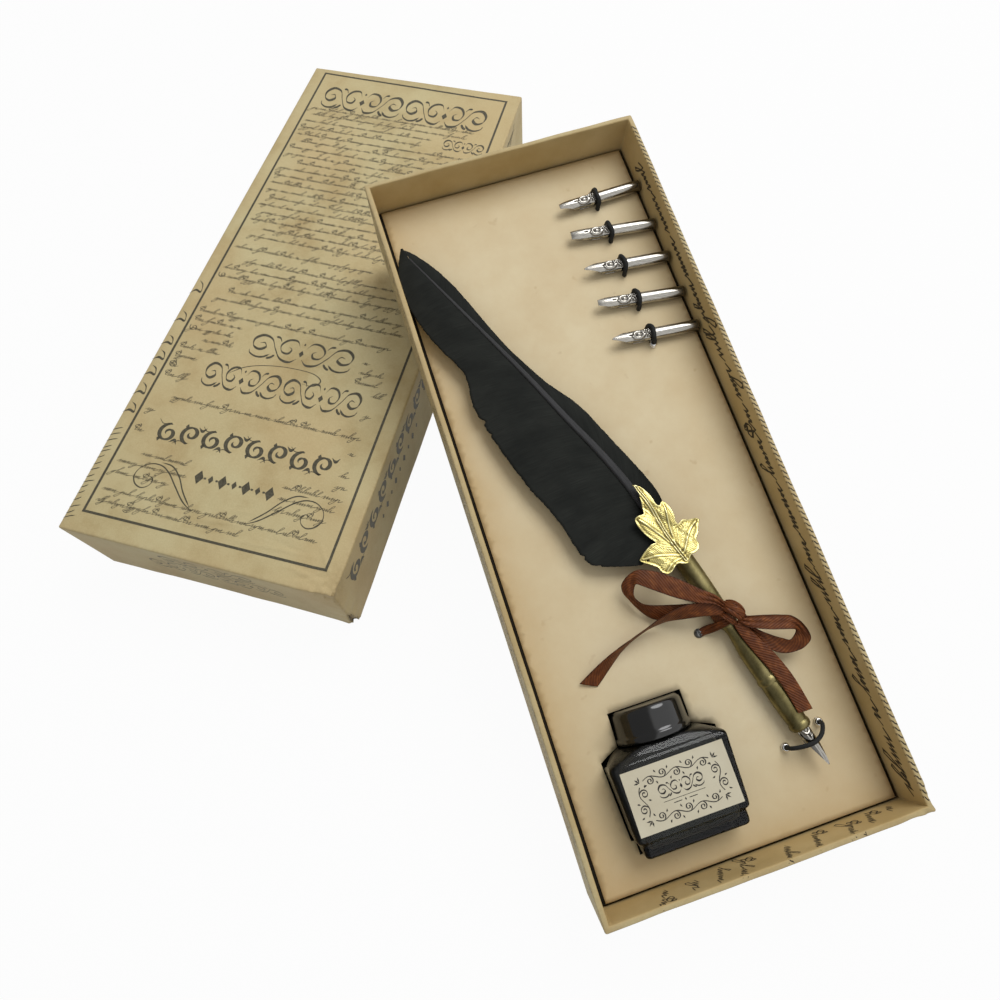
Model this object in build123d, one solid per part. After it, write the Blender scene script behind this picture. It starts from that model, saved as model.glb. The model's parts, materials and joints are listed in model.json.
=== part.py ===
from build123d import *
import math
import os

# Calligraphy gift set: a two-part rigid board box, its lid lying open side down and its
# tray leaning on the lid, with a foam insert that holds a feather pen, five spare nibs
# and a square ink bottle.  Millimetres.
#
# Frames used below
#   tray frame: x across the tray from its middle, y from its near end, z from its underside
#   pen frame:  origin on the pen's axis at the front of the barrel, y up the barrel, z up
#   row frame:  z up from the table, origin under the middle of the whole set

# ---- Rigid box -------------------------------------------------------------------------
tray_width = 121.5
tray_length = 299.5
tray_height = 43.0
board_thickness = 1.6
board_round = 0.55          # rounding of the board's upright edges
paper_thickness = 0.25
turn_in_depth = 20.0        # covering paper turned over the rim and down the inside
stay_leg = 15.0             # paper tape that joins the board's corners
stay_thickness = 0.15
lid_clearance = 0.4         # on each side, between the tray and the closed lid
lid_reveal = 1.6            # height of tray that shows under the closed lid

# ---- How the open set lies -------------------------------------------------------------
tray_yaw = 33.0             # degrees between the lid's length and the tray's
tray_corner_gap = 123.6     # from the lid's right side to the tray's near left corner
tray_corner_back = 77.6     # the same corner lies this far in front of the lid
lean_gap = 0.3              # between the tray's underside and the lid's edge

# ---- Insert ----------------------------------------------------------------------------
insert_gap = 1.0            # between the insert and the tray's walls
insert_depth = 17.0         # from the rim down to the card
card_thickness = 0.5
seat_gap = 0.05             # under pieces that only rest on others
bottle_sink = 17.0          # depth of the bottle's recess, card included
recess_clearance = 0.8

# ---- Ink bottle ------------------------------------------------------------------------
bottle_inset = 41.45        # from the tray's left side to the bottle's axis
bottle_y = 14.5             # the bottle's foot, in the tray frame
bottle_depth = 30.0
bottle_top_width = 45.5
bottle_bottom_width = 42.5
body_height = 26.0
body_round = 1.6
foot_height = 5.5
foot_inset = 1.6
shoulder_height = 4.5
shoulder_width = 31.0
shoulder_depth = 25.0
shoulder_round = 9.0
glass_wall = 2.5
neck_radius = 11.3
neck_wall = 2.3
neck_bead = 0.7             # ring under the cap
cap_radius = 14.6
cap_top_radius = 14.25
cap_height = 12.4
cap_top_thickness = 1.6
cap_chamfer = 0.7
cap_gap = 0.4               # between the cap's rim and the shoulder
cap_fit = 0.3               # between the cap's bore and the neck
liner_thickness = 1.0
label_width = 38.8
label_height = 21.7
label_thickness = 0.15
label_lift = 2.6            # from the foot of the body to the label

# ---- Nibs ------------------------------------------------------------------------------
nib_radius = 2.35
nib_wall = 0.3
nib_length = 38.0
nib_grip = 20.6             # from the shank's open end to the elastic
nib_pitch = 17.45
nib_inset = 20.65           # from the card's right edge to the row of elastics
nib_far_inset = 22.9        # from the card's far edge to the first elastic
nib_float = 0.15            # between a nib and the card
nib_window = 5.2            # side opening between the upper and lower leaf
nib_window_height = 0.9
nib_slit = 0.1
nib_vent = 0.45             # radius of the breather hole
lower_leaf_reach = 8.7      # of the lower leaf, from the elastic towards the tip
nib_fullness = 0.95         # width halfway along the taper, as a share of the straight line
NIB_ANGLES = (1.5, -7.2, -6.0, -7.7, -6.0)
NIB_TIPS = ((1.8, 6.5), (3.4, 5.5), (0.5, 7.5), (2.2, 6.0), (0.4, 7.0))

pen_nib_radius = 2.2
pen_nib_reach = 14.7        # in front of the barrel
pen_nib_shank = 9.0         # inside the barrel
pen_nib_tip_width = 0.35
pen_nib_taper = 10.5
pen_nib_window = 3.0
pen_nib_lower_reach = 6.5

# ---- Elastic cords ---------------------------------------------------------------------
elastic_radius = 1.0
elastic_gap = 0.3           # between an elastic and the nib under it
elastic_depth = 8.0         # of an elastic's end, under the card
crimp_radius = 1.5
crimp_length = 4.0
ferrule_radius = 1.6
ferrule_height = 0.8
hole_clearance = 0.1

# ---- Pen -------------------------------------------------------------------------------
pen_front_inset = 93.15     # from the tray's left side to the front of the barrel
pen_front_y = 36.9          # the same point, in the tray frame
pen_turn = 14.58            # degrees from the tray's length to the pen's axis
pen_axis_height = 4.4       # above the card
barrel_length = 89.5
barrel_radius = 4.0
barrel_end_radius = 3.3
nose_radius = 3.4          # where the rear end rounds over
nose_place = 1.8            # the same, from the start of the rounding
mouth_wall = 0.5            # rim round the quill's socket
bead_radius = 4.15
bead_length = 3.0
groove_radius = 3.75
swell_radius = 3.95
ring_place = 20.7           # bamboo knuckle, from the front
ring_radius = 4.3
ring_length = 3.0
ring_root = 3.85
waist_place = 37.0
waist_radius = 3.25
seat_place = 45.0           # plain stretch that the ribbon is tied round
seat_length = 8.0
seat_radius = 3.6
collet_wall = 0.3
collet_length = 12.0
collet_fit = 0.05

# ---- Feather, with y from the rear end of the barrel ------------------------------------
shaft_radius = 1.9
shaft_tip_radius = 0.35
shaft_taper = 1.15          # over 1 keeps the shaft thick for longer
shaft_socket = 11.5         # length of quill inside the barrel
socket_fit = 0.05
vane_thickness = 0.6
feather_height = 2.4        # of the vanes' mid-plane above the pen's axis
SHAFT_ROUTE = (
    (0.0, 1.0, 0.0), (-0.8, 10.5, 0.7), (-1.8, 25.3, 1.6), (-3.9, 41.2, 2.2),
    (-6.6, 56.5, 2.4), (-10.2, 81.0, 2.4), (-14.5, 105.2, 2.4), (-18.7, 128.4, 2.4),
    (-24.4, 154.0, 2.4),
)
FEATHER_TIP = (-23.2, 159.8)
WIDE_EDGE = (
    (-28.6, 157.0), (-31.6, 149.1), (-35.2, 134.5), (-35.6, 124.0), (-34.2, 112.0), (-32.3, 102.2),
    (-31.7, 94.7), (-33.5, 88.7), (-35.7, 83.1), (-36.5, 76.6), (-36.6, 61.9),
    (-36.2, 50.7), (-35.4, 39.7), (-33.9, 30.8), (-33.1, 18.5), (-33.4, 10.2),
    (-32.1, 3.0), (-28.3, -0.7), (-15.8, -8.1), (-6.5, -5.0), (-5.0, 2.5),
)
NARROW_EDGE = (
    (-19.1, 152.1), (-15.7, 142.0), (-13.2, 128.6), (-11.6, 111.9), (-10.2, 99.4),
    (-7.3, 85.3), (-4.3, 73.6), (-0.7, 65.0), (1.6, 56.6), (3.1, 45.3),
    (4.7, 34.1), (5.9, 24.7), (6.6, 16.3), (5.5, 8.0), (2.8, 5.0),
)

# ---- Leaf ornament, in the feather's frame ----------------------------------------------
leaf_thickness = 0.8
leaf_gap = 0.1              # between the leaf and the crown of the barrel
LEAF_OUTLINE = (
    (-1.0, 19.7), (-2.0, 15.0), (-3.5, 10.8), (-5.2, 7.6), (-7.8, 8.8), (-8.7, 6.1),
    (-8.2, 0.7), (-6.7, -3.9), (-10.5, -3.6), (-15.8, -6.0), (-14.7, -8.9), (-10.9, -12.2),
    (-9.9, -16.0), (-6.2, -16.1), (-3.2, -14.3), (-1.0, -17.3), (2.6, -16.5), (6.1, -14.8),
    (8.6, -11.3), (14.1, -6.0), (13.0, -4.2), (6.9, -2.9), (5.6, 0.2), (6.8, 5.7),
    (5.2, 8.4), (3.2, 7.5), (2.9, 10.7), (1.8, 15.3),
)

# ---- Ribbon ----------------------------------------------------------------------------
ribbon_width = 6.0
ribbon_thickness = 0.4
ribbon_coil = 0.5           # thickness of the turns round the barrel
knot_x = 1.8
knot_width = 6.6
knot_length = 8.8
knot_height = 3.8
knot_round = 1.4
knot_gap = 0.05             # between the knot and the turns
anchor_width = 4.6
eyelet_radius = 1.9
eyelet_bore = 1.0
eyelet_wall = 0.35
eyelet_flange = 0.45
eyelet_depth = 3.0
EYELET_PLACE = (-10.6, 47.9)
# Bands: x, y, z of the middle of the ribbon in the pen frame, and its lean in degrees
LOOP_LEFT = (
    (-0.6, 52.0, 7.2, 0.0), (-5.0, 59.9, 7.6, 8.0), (-9.9, 66.2, 7.3, 16.0), (-15.6, 73.4, 6.6, 24.0),
    (-21.6, 78.8, 5.7, 38.0), (-26.8, 79.4, 4.6, 62.0), (-28.2, 75.8, 3.4, 66.0), (-26.2, 71.0, 2.2, 48.0),
    (-21.8, 64.9, 1.0, 30.0), (-15.0, 59.6, 1.0, 18.0), (-7.8, 55.4, 2.6, 8.0), (-4.9, 52.9, 3.2, 0.0),
)
LOOP_RIGHT = (
    (5.0, 43.9, 7.2, 0.0), (9.6, 40.8, 7.6, 10.0), (14.4, 37.2, 7.2, 20.0), (19.4, 32.8, 6.3, 36.0),
    (22.0, 27.6, 5.3, 58.0), (20.4, 23.8, 4.2, 60.0), (15.6, 25.6, 3.6, 40.0), (11.4, 30.8, 4.6, 24.0),
    (8.0, 37.4, 5.9, 8.0), (4.8, 43.6, 6.1, 0.0),
)
ANCHOR = ((-4.5, 47.3, -0.9, 0.0), (-7.0, 47.5, -2.9, 0.0), (-9.4, 47.8, -3.65, 0.0))
# Free ends of the ribbon: x, y, z in the pen frame
TAIL_LEFT = (
    (-2.6, 56.2, 5.3), (-6.6, 58.6, 5.0), (-11.4, 60.1, 4.4), (-16.4, 60.6, 3.2), (-22.0, 60.0, 1.0),
    (-28.2, 59.3, -1.6), (-34.6, 59.2, -3.3), (-41.0, 58.9, -3.8), (-49.6, 56.7, -3.7), (-58.0, 55.2, -3.8),
)
TAIL_RIGHT = (
    (3.2, 43.2, 5.0), (3.3, 38.2, 4.75), (3.5, 31.8, 4.75), (3.7, 25.0, 4.9), (3.8, 18.2, 4.9),
    (3.6, 11.8, 4.75), (3.4, 5.4, 4.7),
)
# Elastic over the pen's nib: x, y in the pen frame, z above the card
PEN_ELASTIC = (
    (-8.3, -3.2, -elastic_depth), (-8.3, -3.2, 3.4), (-4.4, -4.2, 6.9), (-0.3, -5.0, 7.9),
    (3.6, -4.6, 7.4), (7.9, -2.7, 3.8), (7.9, -2.7, -elastic_depth),
)

# ---- Worked-out sizes ------------------------------------------------------------------
wall = board_thickness + 2 * paper_thickness
edge_round = board_round + paper_thickness
lid_width = tray_width + 2 * (wall + lid_clearance)
lid_length = tray_length + 2 * (wall + lid_clearance)
lid_height = tray_height + wall - lid_reveal
card_top = tray_height - insert_depth
recess_floor = card_top - bottle_sink
insert_inset = wall + insert_gap
insert_half = tray_width / 2 - insert_inset
insert_far = tray_length - insert_inset
tray_tilt = math.degrees(
    math.atan((lid_height + lean_gap) * math.sin(math.radians(tray_yaw)) / tray_corner_gap)
)
card_level = -pen_axis_height   # the card's face in the pen frame
bottle_x = bottle_inset - tray_width / 2
pen_front_x = pen_front_inset - tray_width / 2


# ---- Helpers ---------------------------------------------------------------------------
def slab(width, length, bottom, top, inset=0.0):
    """A block centred on x, with y from inset to length - inset."""
    size = (width - 2 * inset, length - 2 * inset, top - bottom)
    return Pos(0, length / 2, (bottom + top) / 2) * Box(*size)


def upright_rounded(block, radius):
    return fillet(block.edges().filter_by(Axis.Z), radius)


def cylinder_y(radius, start, end):
    """A cylinder along y from start to end."""
    return Pos(0, (start + end) / 2, 0) * Rot(90, 0, 0) * Cylinder(radius, end - start)


def post(x, y, radius, bottom, top):
    return Pos(x, y, (bottom + top) / 2) * Cylinder(radius, top - bottom)


def plate(points, bottom, top):
    """A flat plate with the outline given by points."""
    face = make_face(Polyline(*points, close=True))
    return Pos(0, 0, bottom) * extrude(face, amount=top - bottom)


def fillet_radii(points):
    """Corner radii for a route: as large as the two runs at each corner allow."""
    radii = []
    for a, b, c in zip(points, points[1:], points[2:]):
        run_in = Vector(*b) - Vector(*a)
        run_out = Vector(*c) - Vector(*b)
        turn = math.radians(run_in.get_angle(run_out))
        radii.append(0.45 * min(run_in.length, run_out.length) / math.tan(turn / 2))
    return radii


def rounded_route(points, name):
    radii = fillet_radii(points)
    print(name, "corner radii", [round(r, 1) for r in radii])
    return FilletPolyline(*points, radius=radii)


def band(stations, width, thickness):
    """A flat ribbon through stations of x, y, z and lean, straight from one to the next."""
    places = [Vector(*s[:3]) for s in stations]
    sections = []
    for i, station in enumerate(stations):
        before = places[max(i - 1, 0)]
        after = places[min(i + 1, len(places) - 1)]
        along = (after - before).normalized()
        across = along.cross(Vector(0, 0, 1)).normalized()
        across = across.rotate(Axis((0, 0, 0), along), station[3])
        plane = Plane(origin=places[i], x_dir=across, z_dir=along)
        sections.append(plane * Rectangle(width, thickness))
    return loft(sections, ruled=True)


def solids_together(shapes):
    """Alike pieces that share one node, each still a solid of its own."""
    return Compound([s.solid() for s in shapes])


# ---- Rigid box halves ------------------------------------------------------------------
def panels(shape, width, length, height, floor, thickness):
    """A box half cut where its sheet is folded: floor, two ends and two sides."""
    across = width - 2 * thickness
    regions = [slab(width, length, 0, floor)]
    for y in (0, length - thickness):
        regions.append(Pos(0, y, 0) * slab(width, thickness, floor, height))
    for sign in (-1, 1):
        side = Pos(sign * (across + thickness) / 2, 0, 0)
        regions.append(side * slab(thickness, length, floor, height) - regions[1] - regions[2])
    return solids_together([shape & region for region in regions])


def box_outside(width, length, height):
    return upright_rounded(slab(width, length, 0, height), edge_round)


def open_box(width, length, height):
    """One half of the box, open at the top: board, wrap, corner stays and lining."""
    core = paper_thickness + board_thickness
    rim = height - paper_thickness
    shell = box_outside(width, length, height)
    block = upright_rounded(slab(width, length, paper_thickness, rim, paper_thickness), board_round)
    mouth = slab(width, length, height - turn_in_depth, height, wall)
    collar = slab(width, length, height - turn_in_depth, height, core) - mouth
    wrap = shell - block - mouth + collar

    inside = slab(width, length, core, height, core)
    tape_inset = paper_thickness + stay_thickness
    tape_core = upright_rounded(
        slab(width, length, 0, height, tape_inset), board_round - stay_thickness
    )
    corners = [
        Pos(sx * width / 2, y, height / 2) * Box(2 * stay_leg, 2 * stay_leg, 2 * height)
        for sx in (-1, 1)
        for y in (0, length)
    ]
    tape = block - tape_core
    stays = [tape & corner for corner in corners]
    board = block - inside
    for stay in stays:
        board -= stay
    lining = slab(width, length, core, wall, wall)
    board = panels(board, width, length, height, core, core)
    wrap = panels(wrap, width, length, height, paper_thickness, wall)
    return board, wrap, solids_together(stays), lining


# ---- Ink bottle, in its own frame: y up the bottle from its foot, z out of its front ----
def body_outline(inset):
    """The bottle's body seen from the front, a little wider at the shoulder."""
    low = foot_height + inset
    high = foot_height + body_height - inset
    narrow = bottle_bottom_width / 2 - inset
    wide = bottle_top_width / 2 - inset
    return ((-narrow, low), (narrow, low), (wide, high), (-wide, high))


def body_block(inset, radius):
    depth = bottle_depth - 2 * inset
    block = plate(body_outline(inset), -depth / 2, depth / 2)
    uprights = block.edges().filter_by(lambda e: abs(e.tangent_at(0.5).Y) > 0.9)
    return fillet(uprights, radius)


shoulder_base = foot_height + body_height
neck_base = shoulder_base + shoulder_height
cap_base = neck_base + cap_gap
neck_top = cap_base + cap_height - cap_top_thickness - liner_thickness - cap_fit


def cross_section(y, width, depth, radius):
    plane = Plane(origin=(0, y, 0), x_dir=(1, 0, 0), z_dir=(0, 1, 0))
    return plane * RectangleRounded(width, depth, radius)


def bottle_glass():
    foot = Pos(0, foot_height / 2, 0) * Box(
        bottle_bottom_width - 2 * foot_inset, foot_height, bottle_depth - 2 * foot_inset
    )
    foot = fillet(foot.edges().filter_by(Axis.Y), body_round)
    shoulder = loft([
        cross_section(shoulder_base, bottle_top_width - body_round, bottle_depth - body_round, body_round),
        cross_section(neck_base, shoulder_width, shoulder_depth, shoulder_round),
    ])
    neck = cylinder_y(neck_radius - neck_bead, neck_base, neck_top)
    bead_top = cap_base + neck_bead
    bead = cylinder_y(neck_radius, neck_base, bead_top)
    thread = cylinder_y(neck_radius, neck_top - 3 * neck_bead, neck_top - 2 * neck_bead)
    glass = body_block(0, body_round) + foot + shoulder + neck + bead + thread
    bore = cylinder_y(neck_radius - neck_wall, shoulder_base - glass_wall, neck_top)
    return glass - body_block(glass_wall, body_round) - bore


def bottle_ink():
    return body_block(glass_wall, body_round)


def bottle_label():
    low = foot_height + label_lift
    front = bottle_depth / 2
    size = (label_width, label_height, label_thickness)
    return Pos(0, low + label_height / 2, front + label_thickness / 2) * Box(*size)


def bottle_cap():
    blank = Pos(0, cap_base + cap_height / 2, 0) * Rot(-90, 0, 0) * Cone(
        cap_radius, cap_top_radius, cap_height
    )
    crown = blank.faces().sort_by(Axis.Y)[-1]
    blank = chamfer(crown.edges(), cap_chamfer)
    bore_end = cap_base + cap_height - cap_top_thickness
    return blank - cylinder_y(neck_radius + cap_fit, cap_base, bore_end)


def cap_liner():
    bore_end = cap_base + cap_height - cap_top_thickness
    return cylinder_y(neck_radius, bore_end - liner_thickness, bore_end)


def recess(bottom, top):
    """The space cut for the bottle, in the bottle's frame laid into the insert."""
    c = recess_clearance
    low = bottle_bottom_width / 2 + c
    wide = bottle_top_width / 2 + c
    body = plate(
        ((-low, foot_height - c), (low, foot_height - c), (wide, neck_base + c), (-wide, neck_base + c)),
        bottom, top,
    )
    middle = (bottom + top) / 2
    foot_width = bottle_bottom_width - 2 * foot_inset + 2 * c
    foot = Pos(0, foot_height / 2, middle) * Box(foot_width, foot_height + 2 * c, top - bottom)
    cap_end = cap_base + cap_height + c
    cap_length = cap_end - neck_base
    cap = Pos(0, cap_end - cap_length / 2, middle) * Box(2 * (cap_radius + c), cap_length, top - bottom)
    return body + foot + cap


# ---- Nibs: x from the tip, which points to -x, to the open end of the shank -------------
def nib(radius, tip, shank_end, taper, tip_width, lower_end, window):
    """A steel nib: tubular shank, a lower leaf that ends early and a slit upper leaf."""
    length = shank_end - tip
    tube = Pos(tip + length / 2, 0, 0) * Rot(0, 90, 0) * (
        Cylinder(radius, length) - Cylinder(radius - nib_wall, length)
    )
    half = tip_width / 2
    side = radius + nib_wall
    waist = nib_fullness * (half + radius) / 2
    upper = ((tip, half), (tip + taper / 2, waist), (tip + taper, side), (shank_end, side))
    lower = tuple((x, -y) for x, y in reversed(upper))
    outline = plate(upper + lower, -side, side)
    early = Pos((tip + lower_end) / 2, 0, -side) * Box(lower_end - tip, 2 * side, 2 * side)
    opening = Pos(lower_end + window / 2, 0, 0) * Box(window, 4 * side, nib_window_height)
    vent = Pos(tip + taper, 0, side) * Cylinder(nib_vent, 2 * side)
    slit = Pos(tip + taper / 2, 0, side) * Box(taper, nib_slit, 2 * side)
    return (tube & outline) - early - opening - vent - slit


def spare_nib(tip_width, taper):
    tip = nib_grip - nib_length
    return nib(nib_radius, tip, nib_grip, taper, tip_width, -lower_leaf_reach, nib_window)


def pen_nib():
    body = nib(
        pen_nib_radius, -pen_nib_reach, pen_nib_shank, pen_nib_taper, pen_nib_tip_width,
        -pen_nib_lower_reach, pen_nib_window,
    )
    return Rot(0, 0, 90) * body


# ---- Elastic cords ---------------------------------------------------------------------
nib_axis_height = nib_radius + nib_float
loop_radius = nib_radius + elastic_gap + elastic_radius


def nib_elastic():
    """A loop over a nib: half a ring on two legs, z from the card's face."""
    ring = Pos(0, 0, nib_axis_height) * Rot(0, 90, 0) * Torus(loop_radius, elastic_radius)
    below = Pos(0, 0, nib_axis_height - loop_radius) * Box(
        4 * loop_radius, 4 * loop_radius, 2 * loop_radius
    )
    loop = ring - below
    for side in (-1, 1):
        loop += post(0, side * loop_radius, elastic_radius, -elastic_depth, nib_axis_height)
    return loop


def elastic_crimp(x, y):
    """A metal sleeve pressed on the hidden end of an elastic."""
    bottom = card_top - elastic_depth
    sleeve = post(x, y, crimp_radius, bottom, bottom + crimp_length)
    return sleeve - post(x, y, elastic_radius, bottom, bottom + crimp_length)


def elastic_ferrule(x, y):
    """A bright metal tip that shows where an elastic enters the card."""
    top = card_top + ferrule_height
    return post(x, y, ferrule_radius, card_top, top) - post(x, y, elastic_radius, card_top, top)


def pen_elastic():
    route = rounded_route(PEN_ELASTIC, "pen_elastic")
    start = Plane(origin=route @ 0, z_dir=route % 0)
    return sweep(start * Circle(elastic_radius), path=route)


# ---- Pen, in the pen frame -------------------------------------------------------------
def barrel_profile():
    """Half outline of the turned brass barrel: radius along x, length along y."""
    ring_start = ring_place - ring_length / 2
    ring_end = ring_place + ring_length / 2
    seat_end = seat_place + seat_length
    bead = ThreePointArc(
        (barrel_end_radius, 0), (bead_radius, bead_length / 2), (groove_radius, bead_length)
    )
    swell = Spline(
        (groove_radius, bead_length), (swell_radius, 2 * bead_length), (ring_root, ring_start)
    )
    ring = ThreePointArc((ring_root, ring_start), (ring_radius, ring_place), (ring_root, ring_end))
    waist = Spline(
        (ring_root, ring_end), (waist_radius, waist_place), (seat_radius, seat_place),
        tangents=((0, 1), (1, 1)),
    )
    seat = Line((seat_radius, seat_place), (seat_radius, seat_end))
    grip_end = barrel_length - bead_length
    mouth = shaft_radius + mouth_wall
    grip = Spline(
        (seat_radius, seat_end), (barrel_radius, (seat_end + grip_end) / 2), (seat_radius, grip_end)
    )
    nose = ThreePointArc(
        (seat_radius, grip_end), (nose_radius, grip_end + nose_place), (mouth, barrel_length)
    )
    back = Polyline((mouth, barrel_length), (0, barrel_length), (0, 0), (barrel_end_radius, 0))
    return make_face(bead + swell + ring + waist + seat + grip + nose + back)


def collet_radius():
    return pen_nib_radius + collet_fit + collet_wall


def pen_barrel():
    turned = revolve(barrel_profile(), Axis.Y)
    front_bore = cylinder_y(collet_radius(), 0, collet_length)
    socket_start = barrel_length - shaft_socket
    socket = cylinder_y(shaft_radius + socket_fit, socket_start, barrel_length)
    return turned - front_bore - socket


def pen_collet():
    tube = cylinder_y(collet_radius(), 0, collet_length)
    return tube - cylinder_y(pen_nib_radius + collet_fit, 0, collet_length)


def shaft_stations():
    return ((0.0, seat_gap - shaft_socket, 0.0),) + SHAFT_ROUTE


def feather_shaft():
    """The quill: a round shaft that thins towards the tip."""
    places = [Vector(*p) for p in shaft_stations()]
    reach = places[-1].Y - places[1].Y
    sections = []
    for i, place in enumerate(places):
        before = places[max(i - 1, 0)]
        after = places[min(i + 1, len(places) - 1)]
        along = Vector(0, 1, 0) if i < 2 else (after - before).normalized()
        share = max(0.0, (place.Y - places[1].Y) / reach)
        radius = shaft_radius + (shaft_tip_radius - shaft_radius) * share ** shaft_taper
        sections.append(Plane(origin=place, x_dir=(0, 0, 1), z_dir=along) * Circle(radius))
    return loft(sections, ruled=True)


def feather_vane(edge):
    """One web of the feather, from the shaft's middle line out to its edge."""
    middle = [(p[0], p[1]) for p in SHAFT_ROUTE[1:]]
    outline = middle + [FEATHER_TIP] + list(edge)
    low = feather_height - vane_thickness / 2
    return plate(outline, low, low + vane_thickness) - feather_shaft()


def leaf_ornament():
    low = barrel_radius + leaf_gap
    return plate(LEAF_OUTLINE, low, low + leaf_thickness)


# ---- Ribbon, in the pen frame ----------------------------------------------------------
turns_end = seat_place + ribbon_width
turns_radius = seat_radius + ribbon_coil
knot_bottom = turns_radius + knot_gap
knot_y = seat_place + ribbon_width / 2


def ribbon_turns():
    ring = cylinder_y(turns_radius, seat_place, turns_end)
    return ring - cylinder_y(seat_radius, seat_place, turns_end)


def ribbon_knot():
    block = Box(knot_width, knot_length, knot_height)
    block = fillet(block.edges(), knot_round)
    return Pos(knot_x, knot_y, knot_bottom + knot_height / 2) * block


def ribbon_piece(stations, width):
    return band(stations, width, ribbon_thickness) - ribbon_knot()


def ribbon_tail(points, name):
    """A free end of the ribbon, swept from its cut end, where it lies flat, to the knot."""
    route = rounded_route(points[::-1], name)
    start = Plane(origin=route @ 0, x_dir=(route % 0).cross(Vector(0, 0, 1)), z_dir=route % 0)
    section = start * Rectangle(ribbon_width, ribbon_thickness)
    return sweep(section, path=route)


def ribbon_eyelet():
    x, y = EYELET_PLACE
    flange = post(x, y, eyelet_radius, card_level, card_level + eyelet_flange)
    tube = post(x, y, eyelet_bore + eyelet_wall, card_level - eyelet_depth, card_level + eyelet_flange)
    bore = post(x, y, eyelet_bore, card_level - eyelet_depth, card_level + eyelet_flange)
    return flange + tube - bore


# ---- Placing ---------------------------------------------------------------------------
PEN = Location((pen_front_x, pen_front_y, card_top + pen_axis_height), (0, 0, pen_turn))
FEATHER = Location((0, barrel_length, 0))
BOTTLE = Location((bottle_x, bottle_y, recess_floor + seat_gap + bottle_depth / 2))
TRAY = (
    Location((lid_width + tray_corner_gap, -tray_corner_back, 0), (0, 0, tray_yaw))
    * Location((0, 0, 0), (tray_tilt, 0, 0))
    * Location((tray_width / 2, 0, 0))
)
LID = Location((lid_width / 2, 0, lid_height)) * Location((0, 0, 0), (0, 180, 0))


def elastic_place(i):
    return insert_half - nib_inset, insert_far - nib_far_inset - i * nib_pitch


def pen_point(x, y):
    """A point of the pen frame, in the tray frame."""
    place = (PEN * Location((x, y, 0))).position
    return place.X, place.Y


def elastic_ends():
    """Where the elastics pass through the card, two for each, in the tray frame."""
    ends = []
    for i in range(len(NIB_ANGLES)):
        x, y = elastic_place(i)
        ends += [(x, y + loop_radius), (x, y - loop_radius)]
    return ends + [pen_point(*PEN_ELASTIC[0][:2]), pen_point(*PEN_ELASTIC[-1][:2])]


def insert_pieces():
    """Foam and card, in the tray frame, with their recess and holes."""
    card_under = card_top - card_thickness
    base = slab(tray_width, tray_length, wall + seat_gap, recess_floor, insert_inset)
    top = slab(tray_width, tray_length, recess_floor, card_under, insert_inset)
    card = slab(tray_width, tray_length, card_under, card_top, insert_inset)
    cut = Pos(bottle_x, bottle_y, 0) * recess(recess_floor, card_top)
    top -= cut
    card -= cut
    foam_bottom = card_top - elastic_depth - hole_clearance
    for x, y in elastic_ends():
        card -= post(x, y, elastic_radius + hole_clearance, card_under, card_top)
        top -= post(x, y, crimp_radius + hole_clearance, foam_bottom, card_under)
    x, y = pen_point(*EYELET_PLACE)
    eyelet_hole = eyelet_bore + eyelet_wall
    card -= post(x, y, eyelet_hole, card_under, card_top)
    top -= post(x, y, eyelet_hole + hole_clearance, card_top - eyelet_depth - hole_clearance, card_under)
    return base, top, card


def tray_frame_nodes():
    nodes = {}
    board, wrap, stays, lining = open_box(tray_width, tray_length, tray_height)
    nodes.update(tray_board=board, tray_wrap=wrap, tray_corner_stays=stays, tray_lining=lining)
    base, top, card = insert_pieces()
    nodes.update(foam_base=base, foam_top=top, insert_card=card)
    for i, (angle, tip) in enumerate(zip(NIB_ANGLES, NIB_TIPS)):
        x, y = elastic_place(i)
        nodes[f"nib_elastic_{i + 1}"] = Pos(x, y, card_top) * nib_elastic()
        laid = Pos(x, y, card_top + nib_axis_height) * Rot(0, 0, angle)
        nodes[f"spare_nib_{i + 1}"] = laid * spare_nib(*tip)
    ends = elastic_ends()
    shown = (ends[0], ends[-3], ends[-2], ends[-1])
    nodes["elastic_crimps"] = solids_together([elastic_crimp(*e) for e in ends])
    nodes["elastic_ferrules"] = solids_together([elastic_ferrule(*e) for e in shown])
    for name, shape in pen_frame_nodes().items():
        nodes[name] = PEN * shape
    for name, shape in bottle_frame_nodes().items():
        nodes[name] = BOTTLE * shape
    return nodes


def pen_frame_nodes():
    return {
        "pen_elastic": Pos(0, 0, card_level) * pen_elastic(),
        "pen_barrel": pen_barrel(),
        "pen_collet": pen_collet(),
        "pen_nib": pen_nib(),
        "feather_shaft": FEATHER * feather_shaft(),
        "feather_vane_wide": FEATHER * feather_vane(WIDE_EDGE),
        "feather_vane_narrow": FEATHER * feather_vane(NARROW_EDGE),
        "leaf_ornament": FEATHER * leaf_ornament(),
        "ribbon_turns": ribbon_turns(),
        "ribbon_knot": ribbon_knot(),
        "ribbon_loop_left": ribbon_piece(LOOP_LEFT, ribbon_width),
        "ribbon_loop_right": ribbon_piece(LOOP_RIGHT, ribbon_width),
        "ribbon_anchor": ribbon_piece(ANCHOR, anchor_width),
        "ribbon_tail_left": ribbon_tail(TAIL_LEFT, "ribbon_tail_left"),
        "ribbon_tail_right": ribbon_tail(TAIL_RIGHT, "ribbon_tail_right"),
        "ribbon_eyelet": ribbon_eyelet(),
    }


def bottle_frame_nodes():
    return {
        "bottle_glass": bottle_glass(),
        "bottle_ink": bottle_ink(),
        "bottle_label": bottle_label(),
        "bottle_cap": bottle_cap(),
        "cap_liner": cap_liner(),
    }


def lid_frame_nodes():
    board, wrap, stays, lining = open_box(lid_width, lid_length, lid_height)
    return {"lid_board": board, "lid_wrap": wrap, "lid_corner_stays": stays, "lid_lining": lining}


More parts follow.
